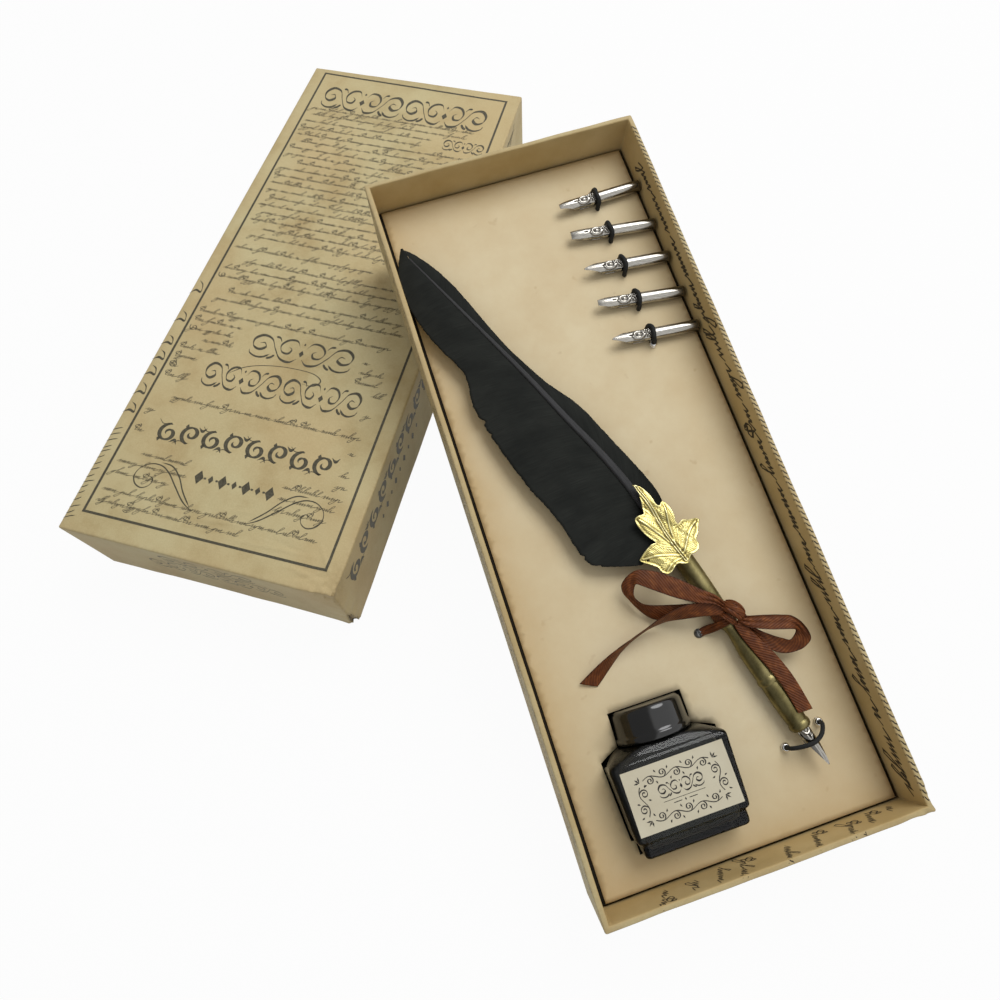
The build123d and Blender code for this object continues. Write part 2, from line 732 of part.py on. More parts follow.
def row_shift():
    """Moves the set so that the origin lies under the middle of its box."""
    lid = LID * box_outside(lid_width, lid_length, lid_height)
    tray = TRAY * box_outside(tray_width, tray_length, tray_height)
    extent = lid.bounding_box().add(tray.bounding_box())
    middle = (extent.min + extent.max) / 2
    return Pos(-middle.X, -middle.Y, 0)


def main():
    os.makedirs("parts", exist_ok=True)
    shift = row_shift()
    nodes = {name: shift * TRAY * shape for name, shape in tray_frame_nodes().items()}
    nodes.update({name: shift * LID * shape for name, shape in lid_frame_nodes().items()})
    for name, shape in nodes.items():
        export_step(shape, f"parts/{name}.step")


main()
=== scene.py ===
"""Looks of the open calligraphy set: lid, tray, insert, feather pen, bow, nibs and ink bottle.

Points are written in millimetres in the frame of the thing they belong to:
  TRAY    x across the tray from its middle, y from its near end, z from its underside
  PEN     origin on the pen's axis at the front of the barrel, y up the barrel, z up
  BOTTLE  y up the bottle from its foot, z out of its front
  LID     x and y from the near left corner of the lid's top, z up out of it
"""
import json
import math
import random

import bmesh
import bpy
import numpy as np
from mathutils import Matrix, Quaternion, Vector
from mathutils.geometry import delaunay_2d_cdt


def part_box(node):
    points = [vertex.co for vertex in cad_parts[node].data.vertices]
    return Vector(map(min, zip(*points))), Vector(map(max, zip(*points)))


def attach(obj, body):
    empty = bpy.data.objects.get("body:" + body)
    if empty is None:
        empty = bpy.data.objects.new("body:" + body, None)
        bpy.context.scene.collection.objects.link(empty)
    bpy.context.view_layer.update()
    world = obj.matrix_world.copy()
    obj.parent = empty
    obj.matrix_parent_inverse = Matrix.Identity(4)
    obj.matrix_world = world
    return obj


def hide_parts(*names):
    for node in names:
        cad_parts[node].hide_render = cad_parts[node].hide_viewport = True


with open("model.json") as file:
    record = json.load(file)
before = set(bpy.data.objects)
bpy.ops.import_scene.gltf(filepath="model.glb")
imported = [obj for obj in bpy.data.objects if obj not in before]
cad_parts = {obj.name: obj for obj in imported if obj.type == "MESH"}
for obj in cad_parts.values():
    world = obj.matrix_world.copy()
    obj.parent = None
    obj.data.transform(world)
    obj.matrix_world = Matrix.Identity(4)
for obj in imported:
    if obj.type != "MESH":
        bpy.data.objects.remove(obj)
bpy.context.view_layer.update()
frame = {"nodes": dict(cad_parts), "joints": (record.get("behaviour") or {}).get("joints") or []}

# ---- Camera ----------------------------------------------------------------------------
MM = 0.001
CAMERA_PLACE = (44.61, -165.90, 311.03)
CAMERA_AIM = (-4.91, -33.61, 0.0)
CAMERA_ROLL = -5.917        # degrees about the view line
CAMERA_LENS = 25.10         # for a sensor 36 mm wide


def placed(name, data):
    """A new object of the scene that holds data."""
    thing = bpy.data.objects.new(name, data)
    bpy.context.scene.collection.objects.link(thing)
    return thing


def make_camera():
    """The camera, at the angle the set is seen from."""
    data = bpy.data.cameras.new("camera")
    camera = placed("camera", data)
    data.lens = CAMERA_LENS
    data.sensor_width = 36.0
    data.clip_start = 0.01
    data.clip_end = 20.0
    line = Vector(CAMERA_AIM) - Vector(CAMERA_PLACE)
    roll = Quaternion((0, 0, 1), math.radians(CAMERA_ROLL))
    camera.rotation_mode = "QUATERNION"
    camera.rotation_quaternion = line.to_track_quat("-Z", "Y") @ roll
    camera.location = Vector(CAMERA_PLACE) * MM
    bpy.context.scene.camera = camera


make_camera()

# ---- Sizes that follow the construction, in mm -------------------------------------------
tray_width = 121.5
tray_length = 299.5
tray_height = 43.0
wall = 2.1
paper = 0.25
edge_round = 0.8
turn_in = 20.0
card_top = 26.0
card_thickness = 0.5
insert_half = 57.65
insert_near = 3.1
insert_far = 296.4
bottle_place = (-19.3, 14.5, 24.05)
cap_middle = 42.6           # up the bottle from its foot
pen_place = (32.4, 36.9, 30.4)
pen_turn = 14.58
card_level = -4.4           # the card's face in the pen frame
ribbon_width = 6.0

# ---- Frames, from the joints and nodes of the construction --------------------------------
joints = {j["name"]: j for j in frame["joints"]}
lid_low, lid_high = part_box("lid_wrap")
lid_width = (lid_high[0] - lid_low[0]) / MM
lid_length = (lid_high[1] - lid_low[1]) / MM
lid_height = (lid_high[2] - lid_low[2]) / MM


def tray_frame():
    """The leaning tray's frame, from the axes of two joints and the place of one."""
    up = Vector(joints["insert_lift"]["axis"])
    along = Vector(joints["cap_turn"]["axis"])
    turn = Matrix((along.cross(up), along, up)).transposed()
    place = Vector(bottle_place) + Vector((0, cap_middle, 0))
    origin = Vector(joints["cap_turn"]["pos_m"]) - turn @ place * MM
    return Matrix.Translation(origin) @ turn.to_4x4() @ Matrix.Scale(MM, 4)


TRAY = tray_frame()
PEN = TRAY @ Matrix.Translation(pen_place) @ Matrix.Rotation(math.radians(pen_turn), 4, "Z")
BOTTLE = TRAY @ Matrix.Translation(bottle_place)
LID = Matrix.Translation((lid_low[0], lid_low[1], lid_high[2])) @ Matrix.Scale(MM, 4)

# ---- Mesh helpers ----------------------------------------------------------------------


def store(mesh, name, points):
    """Keeps a vector for each vertex, for materials."""
    attribute = mesh.attributes.new(name, "FLOAT_VECTOR", "POINT")
    attribute.data.foreach_set("vector", np.asarray(points, np.float32).ravel())


def piece(name, points, faces, place, body, material, stands_for=(), along=None, smooth=True):
    """A mesh from points in mm in the frame place.  It rides on a body of the construction."""
    points = np.asarray(points, float)
    mesh = bpy.data.meshes.new(name)
    mesh.from_pydata(points.tolist(), [], faces)
    store(mesh, "local", points)
    store(mesh, "along", points if along is None else along)
    mesh.transform(place)
    mesh.validate()
    mesh.update()
    mesh.materials.append(material)
    if smooth:
        mesh.shade_smooth()
    thing = placed(name, mesh)
    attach(thing, body)
    if stands_for:
        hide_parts(*stands_for)
    return thing


def grid_faces(rows, columns, closed=False, start=0, flip=False):
    """Quads over a grid of points stored row by row.  closed joins the last column to the first."""
    faces = []
    for i in range(rows - 1):
        for j in range(columns if closed else columns - 1):
            k = (j + 1) % columns
            quad = (start + i * columns + j, start + i * columns + k,
                    start + (i + 1) * columns + k, start + (i + 1) * columns + j)
            faces.append(quad[::-1] if flip else quad)
    return faces


def spline(points, count, closed=False):
    """count points along a smooth curve through points (a centripetal Catmull-Rom spline)."""
    p = np.asarray(points, float)
    if closed:
        p = np.vstack([p[-1], p, p[0], p[1]])
    else:
        p = np.vstack([2 * p[0] - p[1], p, 2 * p[-1] - p[-2]])
    step = np.maximum(np.linalg.norm(np.diff(p, axis=0), axis=1), 1e-9) ** 0.5
    t = np.concatenate([[0], np.cumsum(step)])
    wanted = np.linspace(t[1], t[-2], count, endpoint=not closed)
    found = np.clip(np.searchsorted(t, wanted, side="right") - 1, 1, len(t) - 3)
    out = np.empty((count, p.shape[1]))
    for row, (u, i) in enumerate(zip(wanted, found)):
        t0, t1, t2, t3 = t[i - 1:i + 3]
        p0, p1, p2, p3 = p[i - 1:i + 3]
        a1 = (t1 - u) / (t1 - t0) * p0 + (u - t0) / (t1 - t0) * p1
        a2 = (t2 - u) / (t2 - t1) * p1 + (u - t1) / (t2 - t1) * p2
        a3 = (t3 - u) / (t3 - t2) * p2 + (u - t2) / (t3 - t2) * p3
        b1 = (t2 - u) / (t2 - t0) * a1 + (u - t0) / (t2 - t0) * a2
        b2 = (t3 - u) / (t3 - t1) * a2 + (u - t1) / (t3 - t1) * a3
        out[row] = (t2 - u) / (t2 - t1) * b1 + (u - t1) / (t2 - t1) * b2
    return out


def even(points, count):
    """count points at equal distances along a run of points."""
    p = np.asarray(points, float)
    d = np.concatenate([[0], np.cumsum(np.linalg.norm(np.diff(p[:, :3], axis=0), axis=1))])
    wanted = np.linspace(0, d[-1], count)
    return np.stack([np.interp(wanted, d, p[:, k]) for k in range(p.shape[1])], axis=1)


def level(*columns):
    """Columns of numbers as points at height 0."""
    return np.column_stack([*columns, np.zeros(len(columns[0]))])


def unit(v):
    """Vectors at length 1."""
    v = np.asarray(v, float)
    return v / np.maximum(np.linalg.norm(v, axis=-1, keepdims=True), 1e-12)


def circle(sides):
    """Angles of the corners of a ring."""
    return np.linspace(0, 2 * math.pi, sides, endpoint=False)


def tube(path, radii, sides):
    """Points and faces of a round tube along path, with a radius for each point."""
    p = np.asarray(path, float)
    tangent = unit(np.gradient(p, axis=0))
    side = unit(np.cross(tangent[0], (0, 0, 1)))
    rows = []
    for i, q in enumerate(p):
        side = unit(side - tangent[i] * side.dot(tangent[i]))
        other = np.cross(side, tangent[i])
        turn = circle(sides)
        radius = radii[i] if np.ndim(radii[i]) else np.full(sides, radii[i])
        rows.append(q + (np.cos(turn)[:, None] * side + np.sin(turn)[:, None] * other) * radius[:, None])
    points = np.vstack(rows)
    ends = [tuple(range(sides)), tuple(range(len(points) - 1, len(points) - 1 - sides, -1))]
    return points, grid_faces(len(p), sides, closed=True) + ends


def lathe(profile, sides):
    """Points and faces of a solid turned about y.  profile is a run of (radius, y)."""
    turn = circle(sides)
    rows = [np.stack([r * np.cos(turn), np.full(sides, y), r * np.sin(turn)], axis=1) for r, y in profile]
    return np.vstack(rows), grid_faces(len(profile), sides, closed=True, flip=True)


def joined(*parts):
    """Several (points, faces) as one."""
    points, faces, start = [], [], 0
    for p, f in parts:
        points.append(np.asarray(p, float))
        faces += [tuple(i + start for i in face) for face in f]
        start += len(p)
    return np.vstack(points), faces


def merge(thing, distance=0.002):
    """Joins vertices of a piece that lie within distance, in mm."""
    bm = bmesh.new()
    bm.from_mesh(thing.data)
    bmesh.ops.remove_doubles(bm, verts=bm.verts, dist=distance * MM)
    bmesh.ops.recalc_face_normals(bm, faces=bm.faces)
    bm.to_mesh(thing.data)
    bm.free()


def thicken(thing, thickness, offset=-1.0, even_offset=True):
    """Gives a sheet its thickness: inwards at offset -1, outwards at 1 and both ways at 0."""
    made = thing.modifiers.new("thickness", "SOLIDIFY")
    made.thickness = thickness * MM
    made.offset = offset
    made.use_even_offset = even_offset


def soften(thing):
    """Rounds a piece by one subdivision."""
    made = thing.modifiers.new("smooth", "SUBSURF")
    made.levels = 1
    made.render_levels = 1


def wave(x, seed, octaves=3):
    """A smooth repeatable wave over an array, between about -1 and 1."""
    rng = random.Random(seed)
    total = np.zeros_like(np.asarray(x, float))
    for k in range(octaves):
        total += math.pow(0.55, k) * np.sin(np.asarray(x) * (1 + 1.3 * k) * rng.uniform(0.8, 1.25)
                                            + rng.uniform(0, 6.28))
    return total / 1.6


# ---- Materials -------------------------------------------------------------------------


def rgb(r, g, b):
    """A colour from its 0 to 255 values as a screen shows them."""
    def linear(c):
        c /= 255
        return c / 12.92 if c <= 0.04045 else ((c + 0.055) / 1.055) ** 2.4
    return (linear(r), linear(g), linear(b), 1.0)


def add_node(tree, kind, inputs=None, **settings):
    """A node with its settings, and its inputs linked to sockets or set to values."""
    made = tree.nodes.new(kind)
    for key, value in settings.items():
        setattr(made, key, value)
    for key, value in (inputs or {}).items():
        if isinstance(value, bpy.types.NodeSocket):
            tree.links.new(value, made.inputs[key])
        else:
            made.inputs[key].default_value = value
    return made


class Paint:
    """A material and the few node recipes that this model uses."""

    def __init__(self, name, colour, roughness, **values):
        self.material = bpy.data.materials.new(name)
        self.material.use_nodes = True
        self.tree = self.material.node_tree
        self.shader = self.tree.nodes["Principled BSDF"]
        self.shader.inputs["Base Color"].default_value = colour
        self.shader.inputs["Roughness"].default_value = roughness
        for key, value in values.items():
            self.shader.inputs[key.replace("_", " ").title().replace("Ior", "IOR")].default_value = value

    def node(self, kind, inputs=None, **settings):
        return add_node(self.tree, kind, inputs, **settings)

    def vector(self, name="local"):
        return self.node("ShaderNodeAttribute", attribute_name=name).outputs["Vector"]

    def space(self):
        return self.node("ShaderNodeTexCoord").outputs["Object"]

    def stretch(self, vector, scale, turn=(0, 0, 0)):
        return self.node("ShaderNodeMapping", {"Vector": vector, "Scale": scale, "Rotation": turn}).outputs[0]

    def noise(self, vector, scale, detail=4.0, rough=0.55):
        return self.node("ShaderNodeTexNoise", {
            "Vector": vector, "Scale": scale, "Detail": detail, "Roughness": rough,
        }).outputs["Fac"]

    def ramp(self, factor, *stops):
        """A colour ramp from (place, colour) stops.  A single number stands for a grey."""
        made = self.node("ShaderNodeValToRGB", {"Fac": factor})
        elements = made.color_ramp.elements
        while len(elements) < len(stops):
            elements.new(0.5)
        for element, (place, colour) in zip(elements, stops):
            element.position = place
            element.color = colour if isinstance(colour, tuple) else (colour, colour, colour, 1)
        return made.outputs["Color"]

    def mix(self, factor, a, b):
        return self.node("ShaderNodeMix", {0: factor, 6: a, 7: b}, data_type="RGBA").outputs[2]

    def math(self, operation, a, b=0.0):
        return self.node("ShaderNodeMath", {0: a, 1: b}, operation=operation).outputs[0]

    def axis(self, vector, which):
        return self.node("ShaderNodeSeparateXYZ", {"Vector": vector}).outputs[which]

    def bump(self, height, strength, distance):
        """Adds relief, distance in mm, on top of any relief there already."""
        made = self.node("ShaderNodeBump", {"Height": height, "Strength": strength, "Distance": distance * MM})
        normal = self.shader.inputs["Normal"]
        if normal.is_linked:
            self.tree.links.new(normal.links[0].from_socket, made.inputs["Normal"])
        self.tree.links.new(made.outputs[0], normal)

    def set(self, key, socket):
        self.tree.links.new(socket, self.shader.inputs[key])


def dress(name, paint):
    """Gives a kept node of the construction its material."""
    for slot in frame["nodes"][name].material_slots:
        slot.material = paint.material


# ---- Ribbon ends: the free cords ---------------------------------------------------------
TAIL_LEFT = (
    (-0.4, 50.8, 5.6), (-5.4, 54.8, 5.4), (-10.6, 57.2, 4.9), (-16.2, 59.1, 3.7), (-22.0, 60.2, 1.8),
    (-28.2, 60.3, -0.4), (-34.6, 60.0, -1.3), (-41.0, 59.3, -1.7), (-49.6, 57.2, -2.4), (-57.6, 54.9, -3.6),
)
TAIL_RIGHT = (
    (1.2, 44.2, 5.3), (1.9, 38.6, 4.9), (3.0, 31.8, 4.9), (4.0, 25.0, 5.0), (4.4, 18.2, 5.0),
    (4.0, 11.8, 4.9), (3.3, 5.4, 4.8),
)


def ribbon_paint():
    """Brown satin with slanted ribs, lighter patches of painted sheen, and darker along its edges."""
    paint = Paint("ribbon_satin", rgb(104, 56, 25), 0.5, specular_ior_level=0.22)
    along = paint.vector("along")
    slanted = paint.stretch(along, (1.0, 1.0, 1.0), (0, 0, math.radians(-56)))
    ribs = paint.node("ShaderNodeTexWave", {"Vector": slanted, "Scale": 0.36, "Distortion": 0.5,
                                            "Detail": 1.0, "Detail Scale": 2.0})
    # Painted sheen: lighter patches at random places stand for the satin's shine.
    patches = paint.noise(paint.stretch(along, (1.0, 1.6, 1.0)), 0.28, 3)
    tone = paint.ramp(patches, (0.32, rgb(88, 45, 18)), (0.52, rgb(112, 60, 26)), (0.70, rgb(144, 83, 40)))
    dark = paint.mix(paint.math("MULTIPLY", ribs.outputs["Fac"], 0.5), tone, rgb(58, 28, 12))
    # Darker along both edges of the band.
    across = paint.math("ABSOLUTE", paint.axis(along, "Y"))
    near_edge = paint.node("ShaderNodeMapRange", {"Value": across, "From Min": 0.5 * ribbon_width - 0.5,
                                            "From Max": 0.5 * ribbon_width - 0.05}).outputs[0]
    paint.set("Base Color", paint.mix(paint.math("MULTIPLY", near_edge, 0.75), dark, rgb(50, 26, 15)))
    paint.bump(ribs.outputs["Fac"], 0.7, 0.18)
    paint.bump(paint.noise(along, 5.0, 2), 0.2, 0.05)
    return paint


RIBBON = ribbon_paint()


def nurbs_line(points, count):
    """The line of an order 3 NURBS through the route's points, as a run of points in mm."""
    data = bpy.data.curves.new("line", "CURVE")
    data.dimensions = "3D"
    data.resolution_u = count
    line = data.splines.new("NURBS")
    line.points.add(len(points) - 1)
    for knot, point in zip(line.points, points):
        knot.co = (*point, 1)
    line.order_u = 3
    line.use_endpoint_u = True
    holder = bpy.data.objects.new("line", data)
    mesh = bpy.data.meshes.new_from_object(holder)
    run = np.array([v.co for v in mesh.vertices])
    bpy.data.objects.remove(holder)
    bpy.data.curves.remove(data)
    bpy.data.meshes.remove(mesh)
    return run


def ribbon_strip(line, across, half, cells, cup):
    """Points, faces and cloth coordinates of a band about line.  across gives its width direction."""
    line = np.asarray(line, float)
    tangent = unit(np.gradient(line, axis=0))
    across = unit(across - tangent * np.sum(across * tangent, axis=1, keepdims=True))
    normal = np.cross(across, tangent)
    run = np.concatenate([[0], np.cumsum(np.linalg.norm(np.diff(line, axis=0), axis=1))])
    share = np.linspace(-1, 1, cells + 1)
    half = np.broadcast_to(half, len(line))
    points = (line[:, None] + across[:, None] * (share * half[:, None])[..., None]
              + normal[:, None] * (cup * (1 - share ** 2) * half[:, None] / 3)[..., None])
    cloth = level(np.repeat(run, cells + 1), (share * half[:, None]).ravel())
    return points.reshape(-1, 3), grid_faces(len(line), cells + 1), cloth


def leaned(line, lean):
    """Width direction along a band: level at lean 0, then turned about the band, in degrees."""
    tangent = unit(np.gradient(line, axis=0))
    across = unit(np.cross(tangent, (0, 0, 1)))
    turn = np.radians(lean)[:, None]
    return across * np.cos(turn) + np.cross(tangent, across) * np.sin(turn)


tail_thickness = 0.22


def make_tail(name, node, route, leans, widths, cut):
    """A free end of the ribbon.  leans, in degrees, and widths, as shares of the ribbon's, follow the
    share of its length.  cut slants its end."""
    line = even(nurbs_line(route, 60), 110)
    share = np.linspace(0, 1, len(line))
    across = leaned(line, np.interp(share, *zip(*leans)))
    half = 0.5 * ribbon_width * np.interp(share, *zip(*widths))
    points, faces, cloth = ribbon_strip(line, across, half, cells=12, cup=0.22)
    tangent = np.repeat(unit(np.gradient(line, axis=0)), 13, axis=0)
    shear = (cloth[:, 1] * cut * np.clip(np.repeat(share, 13) * 8 - 7, 0, 1))[:, None]
    thing = piece(name, points + tangent * shear, faces, PEN, "insert", RIBBON.material, [node],
                  along=cloth)
    thicken(thing, tail_thickness, 0.0)


make_tail("tail_left", "ribbon_tail_left", TAIL_LEFT,
          leans=((0, -16), (0.14, -22), (0.26, -42), (0.36, -66), (0.5, -80), (0.62, -78), (0.72, -66),
                 (0.86, -40), (1, -14)),
          widths=((0, 0.62), (0.10, 0.86), (0.2, 1.0), (1, 1.0)), cut=0.6)
make_tail("tail_right", "ribbon_tail_right", TAIL_RIGHT,
          leans=((0, 14), (0.3, 16), (0.6, 14), (1, 10)),
          widths=((0, 0.5), (0.12, 0.72), (0.35, 0.92), (1, 0.88)), cut=-0.12)


# ---- Bow --------------------------------------------------------------------------------
# Stations of a band: its outer edge, then its inner edge
LOOP_LEFT = (
    (2.0, 51.4, 6.2, 0.2, 50.0, 6.0), (0.0, 57.0, 7.6, -2.4, 54.6, 7.0), (-3.5, 61.9, 7.9, -7.0, 58.0, 7.4),
    (-8.2, 69.3, 7.7, -12.8, 63.8, 7.3), (-13.0, 75.8, 7.0, -17.8, 70.2, 6.6), (-17.4, 79.8, 6.2, -21.2, 75.0, 5.8),
    (-19.6, 80.9, 5.6, -22.3, 76.5, 5.2), (-23.4, 80.9, 4.2, -23.2, 75.9, 3.6), (-26.6, 79.4, 2.4, -24.2, 74.8, 3.0),
    (-27.5, 76.6, 0.2, -24.9, 73.4, 2.8), (-26.6, 73.2, -1.8, -25.0, 71.6, 2.6), (-25.8, 68.9, -2.3, -23.9, 69.2, 2.3),
    (-23.3, 62.4, -1.5, -20.6, 66.4, 1.9), (-15.6, 56.9, 0.3, -14.4, 62.6, 2.5), (-8.1, 53.4, 2.4, -8.0, 58.8, 3.6),
    (-3.4, 50.4, 4.2, -2.8, 54.2, 4.7), (-0.6, 48.4, 5.0, -0.2, 50.6, 5.4),
)
LOOP_RIGHT = (
    (2.6, 46.8, 6.2, 1.4, 44.6, 6.0), (5.7, 44.4, 7.6, 3.2, 41.2, 7.1), (11.0, 41.4, 8.0, 8.4, 36.8, 7.5),
    (16.2, 38.2, 7.6, 13.8, 33.4, 7.1), (19.6, 35.6, 7.0, 17.2, 31.4, 6.5), (21.5, 32.0, 6.1, 18.3, 30.5, 5.6),
    (22.3, 27.4, 5.0, 18.3, 29.6, 4.2), (21.8, 24.4, 3.6, 17.4, 28.7, 3.0), (18.4, 22.9, 1.8, 15.3, 28.2, 2.6),
    (13.2, 23.9, 0.9, 13.2, 30.2, 2.8), (8.8, 26.8, 1.5, 10.6, 33.0, 3.2), (6.2, 31.4, 2.6, 7.9, 36.4, 4.0),
    (4.0, 38.2, 4.1, 5.0, 40.4, 5.0), (1.8, 43.2, 4.9, 2.6, 44.2, 5.5),
)
ANCHOR = (
    (0.6, 47.7, 4.5, 0.2, 45.3, 4.5), (-2.6, 48.1, 3.5, -3.0, 45.4, 3.3), (-4.8, 48.4, 0.9, -5.2, 45.4, 0.5),
    (-6.2, 48.8, -1.9, -6.8, 45.6, -2.2), (-8.2, 49.1, -3.3, -8.8, 46.1, -3.5), (-9.8, 49.0, -3.7, -10.4, 46.4, -3.8),
)


band_thickness = 0.25


def make_band(name, node, stations, folds, cup, count=190, cells=20):
    """A band of the bow between its two edges, with shallow folds where it is gathered."""
    run = spline(stations, count)
    a, b = run[:, :3], run[:, 3:]
    middle = (a + b) / 2
    width = np.linalg.norm(b - a, axis=1)
    tangent = unit(np.gradient(middle, axis=0))
    across = unit(b - a)
    normal = unit(np.cross(tangent, across))
    share = np.linspace(-1, 1, cells + 1)
    length = np.concatenate([[0], np.cumsum(np.linalg.norm(np.diff(middle, axis=0), axis=1))])
    gather = np.clip(1 - width / ribbon_width, 0, 1)
    rise = (cup * (1 - share ** 2)[None, :] + (gather * folds)[:, None] * np.sin(share * 8.0 + 0.6)[None, :]
            + 0.07 * wave(length[:, None] * 0.45 + share[None, :] * 1.5, 5))
    points = (middle[:, None] + across[:, None] * (share[None, :] * width[:, None] / 2)[..., None]
              + normal[:, None] * rise[..., None])
    cloth = level(np.repeat(length, cells + 1), np.tile(share * ribbon_width / 2, count))
    thing = piece(name, points.reshape(-1, 3), grid_faces(count, cells + 1), PEN, "insert", RIBBON.material,
                  [node], along=cloth)
    thicken(thing, band_thickness, 0.0)


make_band("bow_left", "ribbon_loop_left", LOOP_LEFT, folds=0.8, cup=0.28)
make_band("bow_right", "ribbon_loop_right", LOOP_RIGHT, folds=0.8, cup=0.28)
make_band("bow_anchor", "ribbon_anchor", ANCHOR, folds=0.5, cup=0.35, count=60, cells=12)

# Strands of the knot: a run of points, half its width and half its thickness
KNOT_STRANDS = (
    (((0.2, 53.4, 3.4), (0.8, 52.3, 5.2), (1.7, 50.4, 6.9), (2.6, 48.2, 7.5), (3.5, 46.1, 7.0), (4.1, 44.6, 5.4),
      (4.4, 43.7, 3.6)), 2.15, 1.15, 3),
    (((2.8, 52.6, 3.8), (4.0, 51.4, 5.3), (5.1, 49.2, 5.7), (5.5, 46.9, 5.2), (5.2, 45.3, 3.8)), 1.25, 1.1, 4),
    (((-1.3, 50.3, 4.0), (-1.0, 48.6, 5.4), (-0.2, 46.8, 5.7), (0.8, 45.0, 5.0), (1.4, 44.0, 3.8)), 1.3, 1.0, 5),
)


knot_low = 3.2              # of the knot above the pen's axis


def make_knot():
    """The knot: gathered strands of ribbon that pass over the bands, with creases along them."""
    parts, cloth = [], []
    sides, rows = 72, 60
    turn = circle(sides)
    for route, wide, thick, seed in KNOT_STRANDS:
        path = even(spline(route, 120), rows)
        share = np.linspace(-1, 1, rows)
        radii = []
        for u in share:
            pinch = 1 - 0.30 * abs(u) ** 2.2
            creases = 1 + 0.10 * np.cos(6 * turn + seed + 0.8 * u) + 0.05 * np.cos(11 * turn - seed + 1.3 * u)
            ring = 1 / np.sqrt((np.cos(turn) / wide) ** 2 + (np.sin(turn) / thick) ** 2)
            radii.append(ring * creases * pinch)
        parts.append(tube(path, radii, sides))
        cloth.append(level(np.repeat(share * 4.5, sides), np.tile(np.sin(turn * 1.5) * 2.2, rows)))
    points, faces = joined(*parts)
    points[:, 2] = np.maximum(points[:, 2], knot_low)
    piece("bow_knot", points, faces, PEN, "insert", RIBBON.material, ["ribbon_knot"],
          along=np.vstack(cloth))


turn_thickness = 0.18


def make_turns():
    """The ribbon wound round the barrel under the knot, its layers a little apart."""
    points, faces, cloth = [], [], []
    turn = np.linspace(0, 2 * math.pi, 73)
    for layer, (low, high, radius) in enumerate(((45.2, 51.2, 3.82), (45.7, 52.0, 4.02))):
        ys = np.linspace(low, high, 15)
        rim = np.clip(np.minimum(ys - low, high - ys) / 0.5, 0, 1)
        ring = np.array([(radius - 0.08 * (1 - r)) for r in rim])
        grid = np.array([[(r * math.cos(a), y + 0.25 * math.sin(a + layer), r * math.sin(a)) for a in turn]
                         for y, r in zip(ys, ring)]).reshape(-1, 3)
        faces += grid_faces(15, 73, start=len(points) * 15 * 73)
        points.append(grid)
        cloth.append(np.array([[(a * 3.4, y - (low + high) / 2, 0) for a in turn] for y in ys]).reshape(-1, 3))
    thing = piece("bow_turns", np.vstack(points), faces, PEN, "insert", RIBBON.material, ["ribbon_turns"],
                  along=np.vstack(cloth))
    thicken(thing, turn_thickness, 0.0)


make_knot()
make_turns()


# ---- Pen: barrel, quill, feather and leaf -------------------------------------------------
quill_seat = 89.5           # up the barrel, where the quill's own frame starts
FEATHER = PEN @ Matrix.Translation((0, quill_seat, 0))


def brass_paint():
    """Antiqued brass: olive gold, darkened in fine specks."""
    paint = Paint("antique_brass", rgb(134, 124, 84), 0.40, metallic=1.0)
    space = paint.space()
    streaks = paint.stretch(space, (1, 0.5, 1), (0, 0, math.radians(47)))
    cloud = paint.noise(streaks, 170, 5, 0.6)
    fine = paint.noise(space, 1300, 4, 0.7)
    tone = paint.ramp(cloud, (0.32, rgb(94, 86, 54)), (0.5, rgb(122, 113, 76)), (0.68, rgb(142, 132, 92)))
    tone = paint.mix(paint.ramp(fine, (0.56, 0.0), (0.74, 0.45)), tone, rgb(66, 60, 34))
    paint.set("Base Color", tone)
    paint.set("Roughness", paint.ramp(fine, (0.3, 0.34), (0.7, 0.5)))
    paint.bump(fine, 0.12, 0.05)
    return paint


def quill_paint():
    """Grey horn with fine lines along it."""
    paint = Paint("quill", rgb(48, 48, 49), 0.6, specular_ior_level=0.25)
    local = paint.vector()
    lines = paint.noise(paint.stretch(local, (6.0, 0.05, 6.0)), 1.0, 4)
    paint.set("Base Color", paint.ramp(lines, (0.35, rgb(40, 40, 41)), (0.65, rgb(56, 56, 57))))
    paint.bump(lines, 0.25, 0.06)
    return paint


def feather_paint():
    """Matt black barbs, each a fine line."""
    paint = Paint("feather", rgb(30, 31, 29), 0.8, specular_ior_level=0.12)
    cloth = paint.vector("along")
    barbs = paint.noise(paint.stretch(cloth, (3.2, 0.10, 1)), 1.0, 3)
    patches = paint.noise(cloth, 0.06, 3)
    tone = paint.ramp(patches, (0.35, rgb(31, 33, 31)), (0.65, rgb(42, 44, 41)))
    paint.set("Base Color", paint.mix(paint.ramp(barbs, (0.4, 0.0), (0.62, 0.5)), tone, rgb(22, 23, 21)))
    paint.bump(barbs, 0.30, 0.10)
    return paint


BRASS = brass_paint()
dress("pen_barrel", BRASS)

SHAFT_ROUTE = (
    (0.0, -11.4, 0.0), (0.0, 1.0, 0.0), (-0.8, 10.5, 0.7), (-1.8, 25.3, 1.6), (-3.9, 41.2, 2.2),
    (-6.6, 56.5, 2.4), (-10.2, 81.0, 2.4), (-14.5, 105.2, 2.4), (-18.7, 128.4, 2.4), (-23.4, 154.0, 2.4),
)
shaft_radius = 1.9
shaft_tip_radius = 0.35
shaft_start = 1.0           # where the taper starts
shaft_reach = 153.0         # and how far it runs
SHAFT = even(spline(SHAFT_ROUTE, 400), 160)


def shaft_at(y):
    """Place and radius of the quill at y along it."""
    y = np.asarray(y, float)
    x = np.interp(y, SHAFT[:, 1], SHAFT[:, 0])
    z = np.interp(y, SHAFT[:, 1], SHAFT[:, 2])
    share = np.clip((y - shaft_start) / shaft_reach, 0, 1)
    return np.stack([x, y, z], axis=-1), shaft_radius + (shaft_tip_radius - shaft_radius) * share ** 1.15


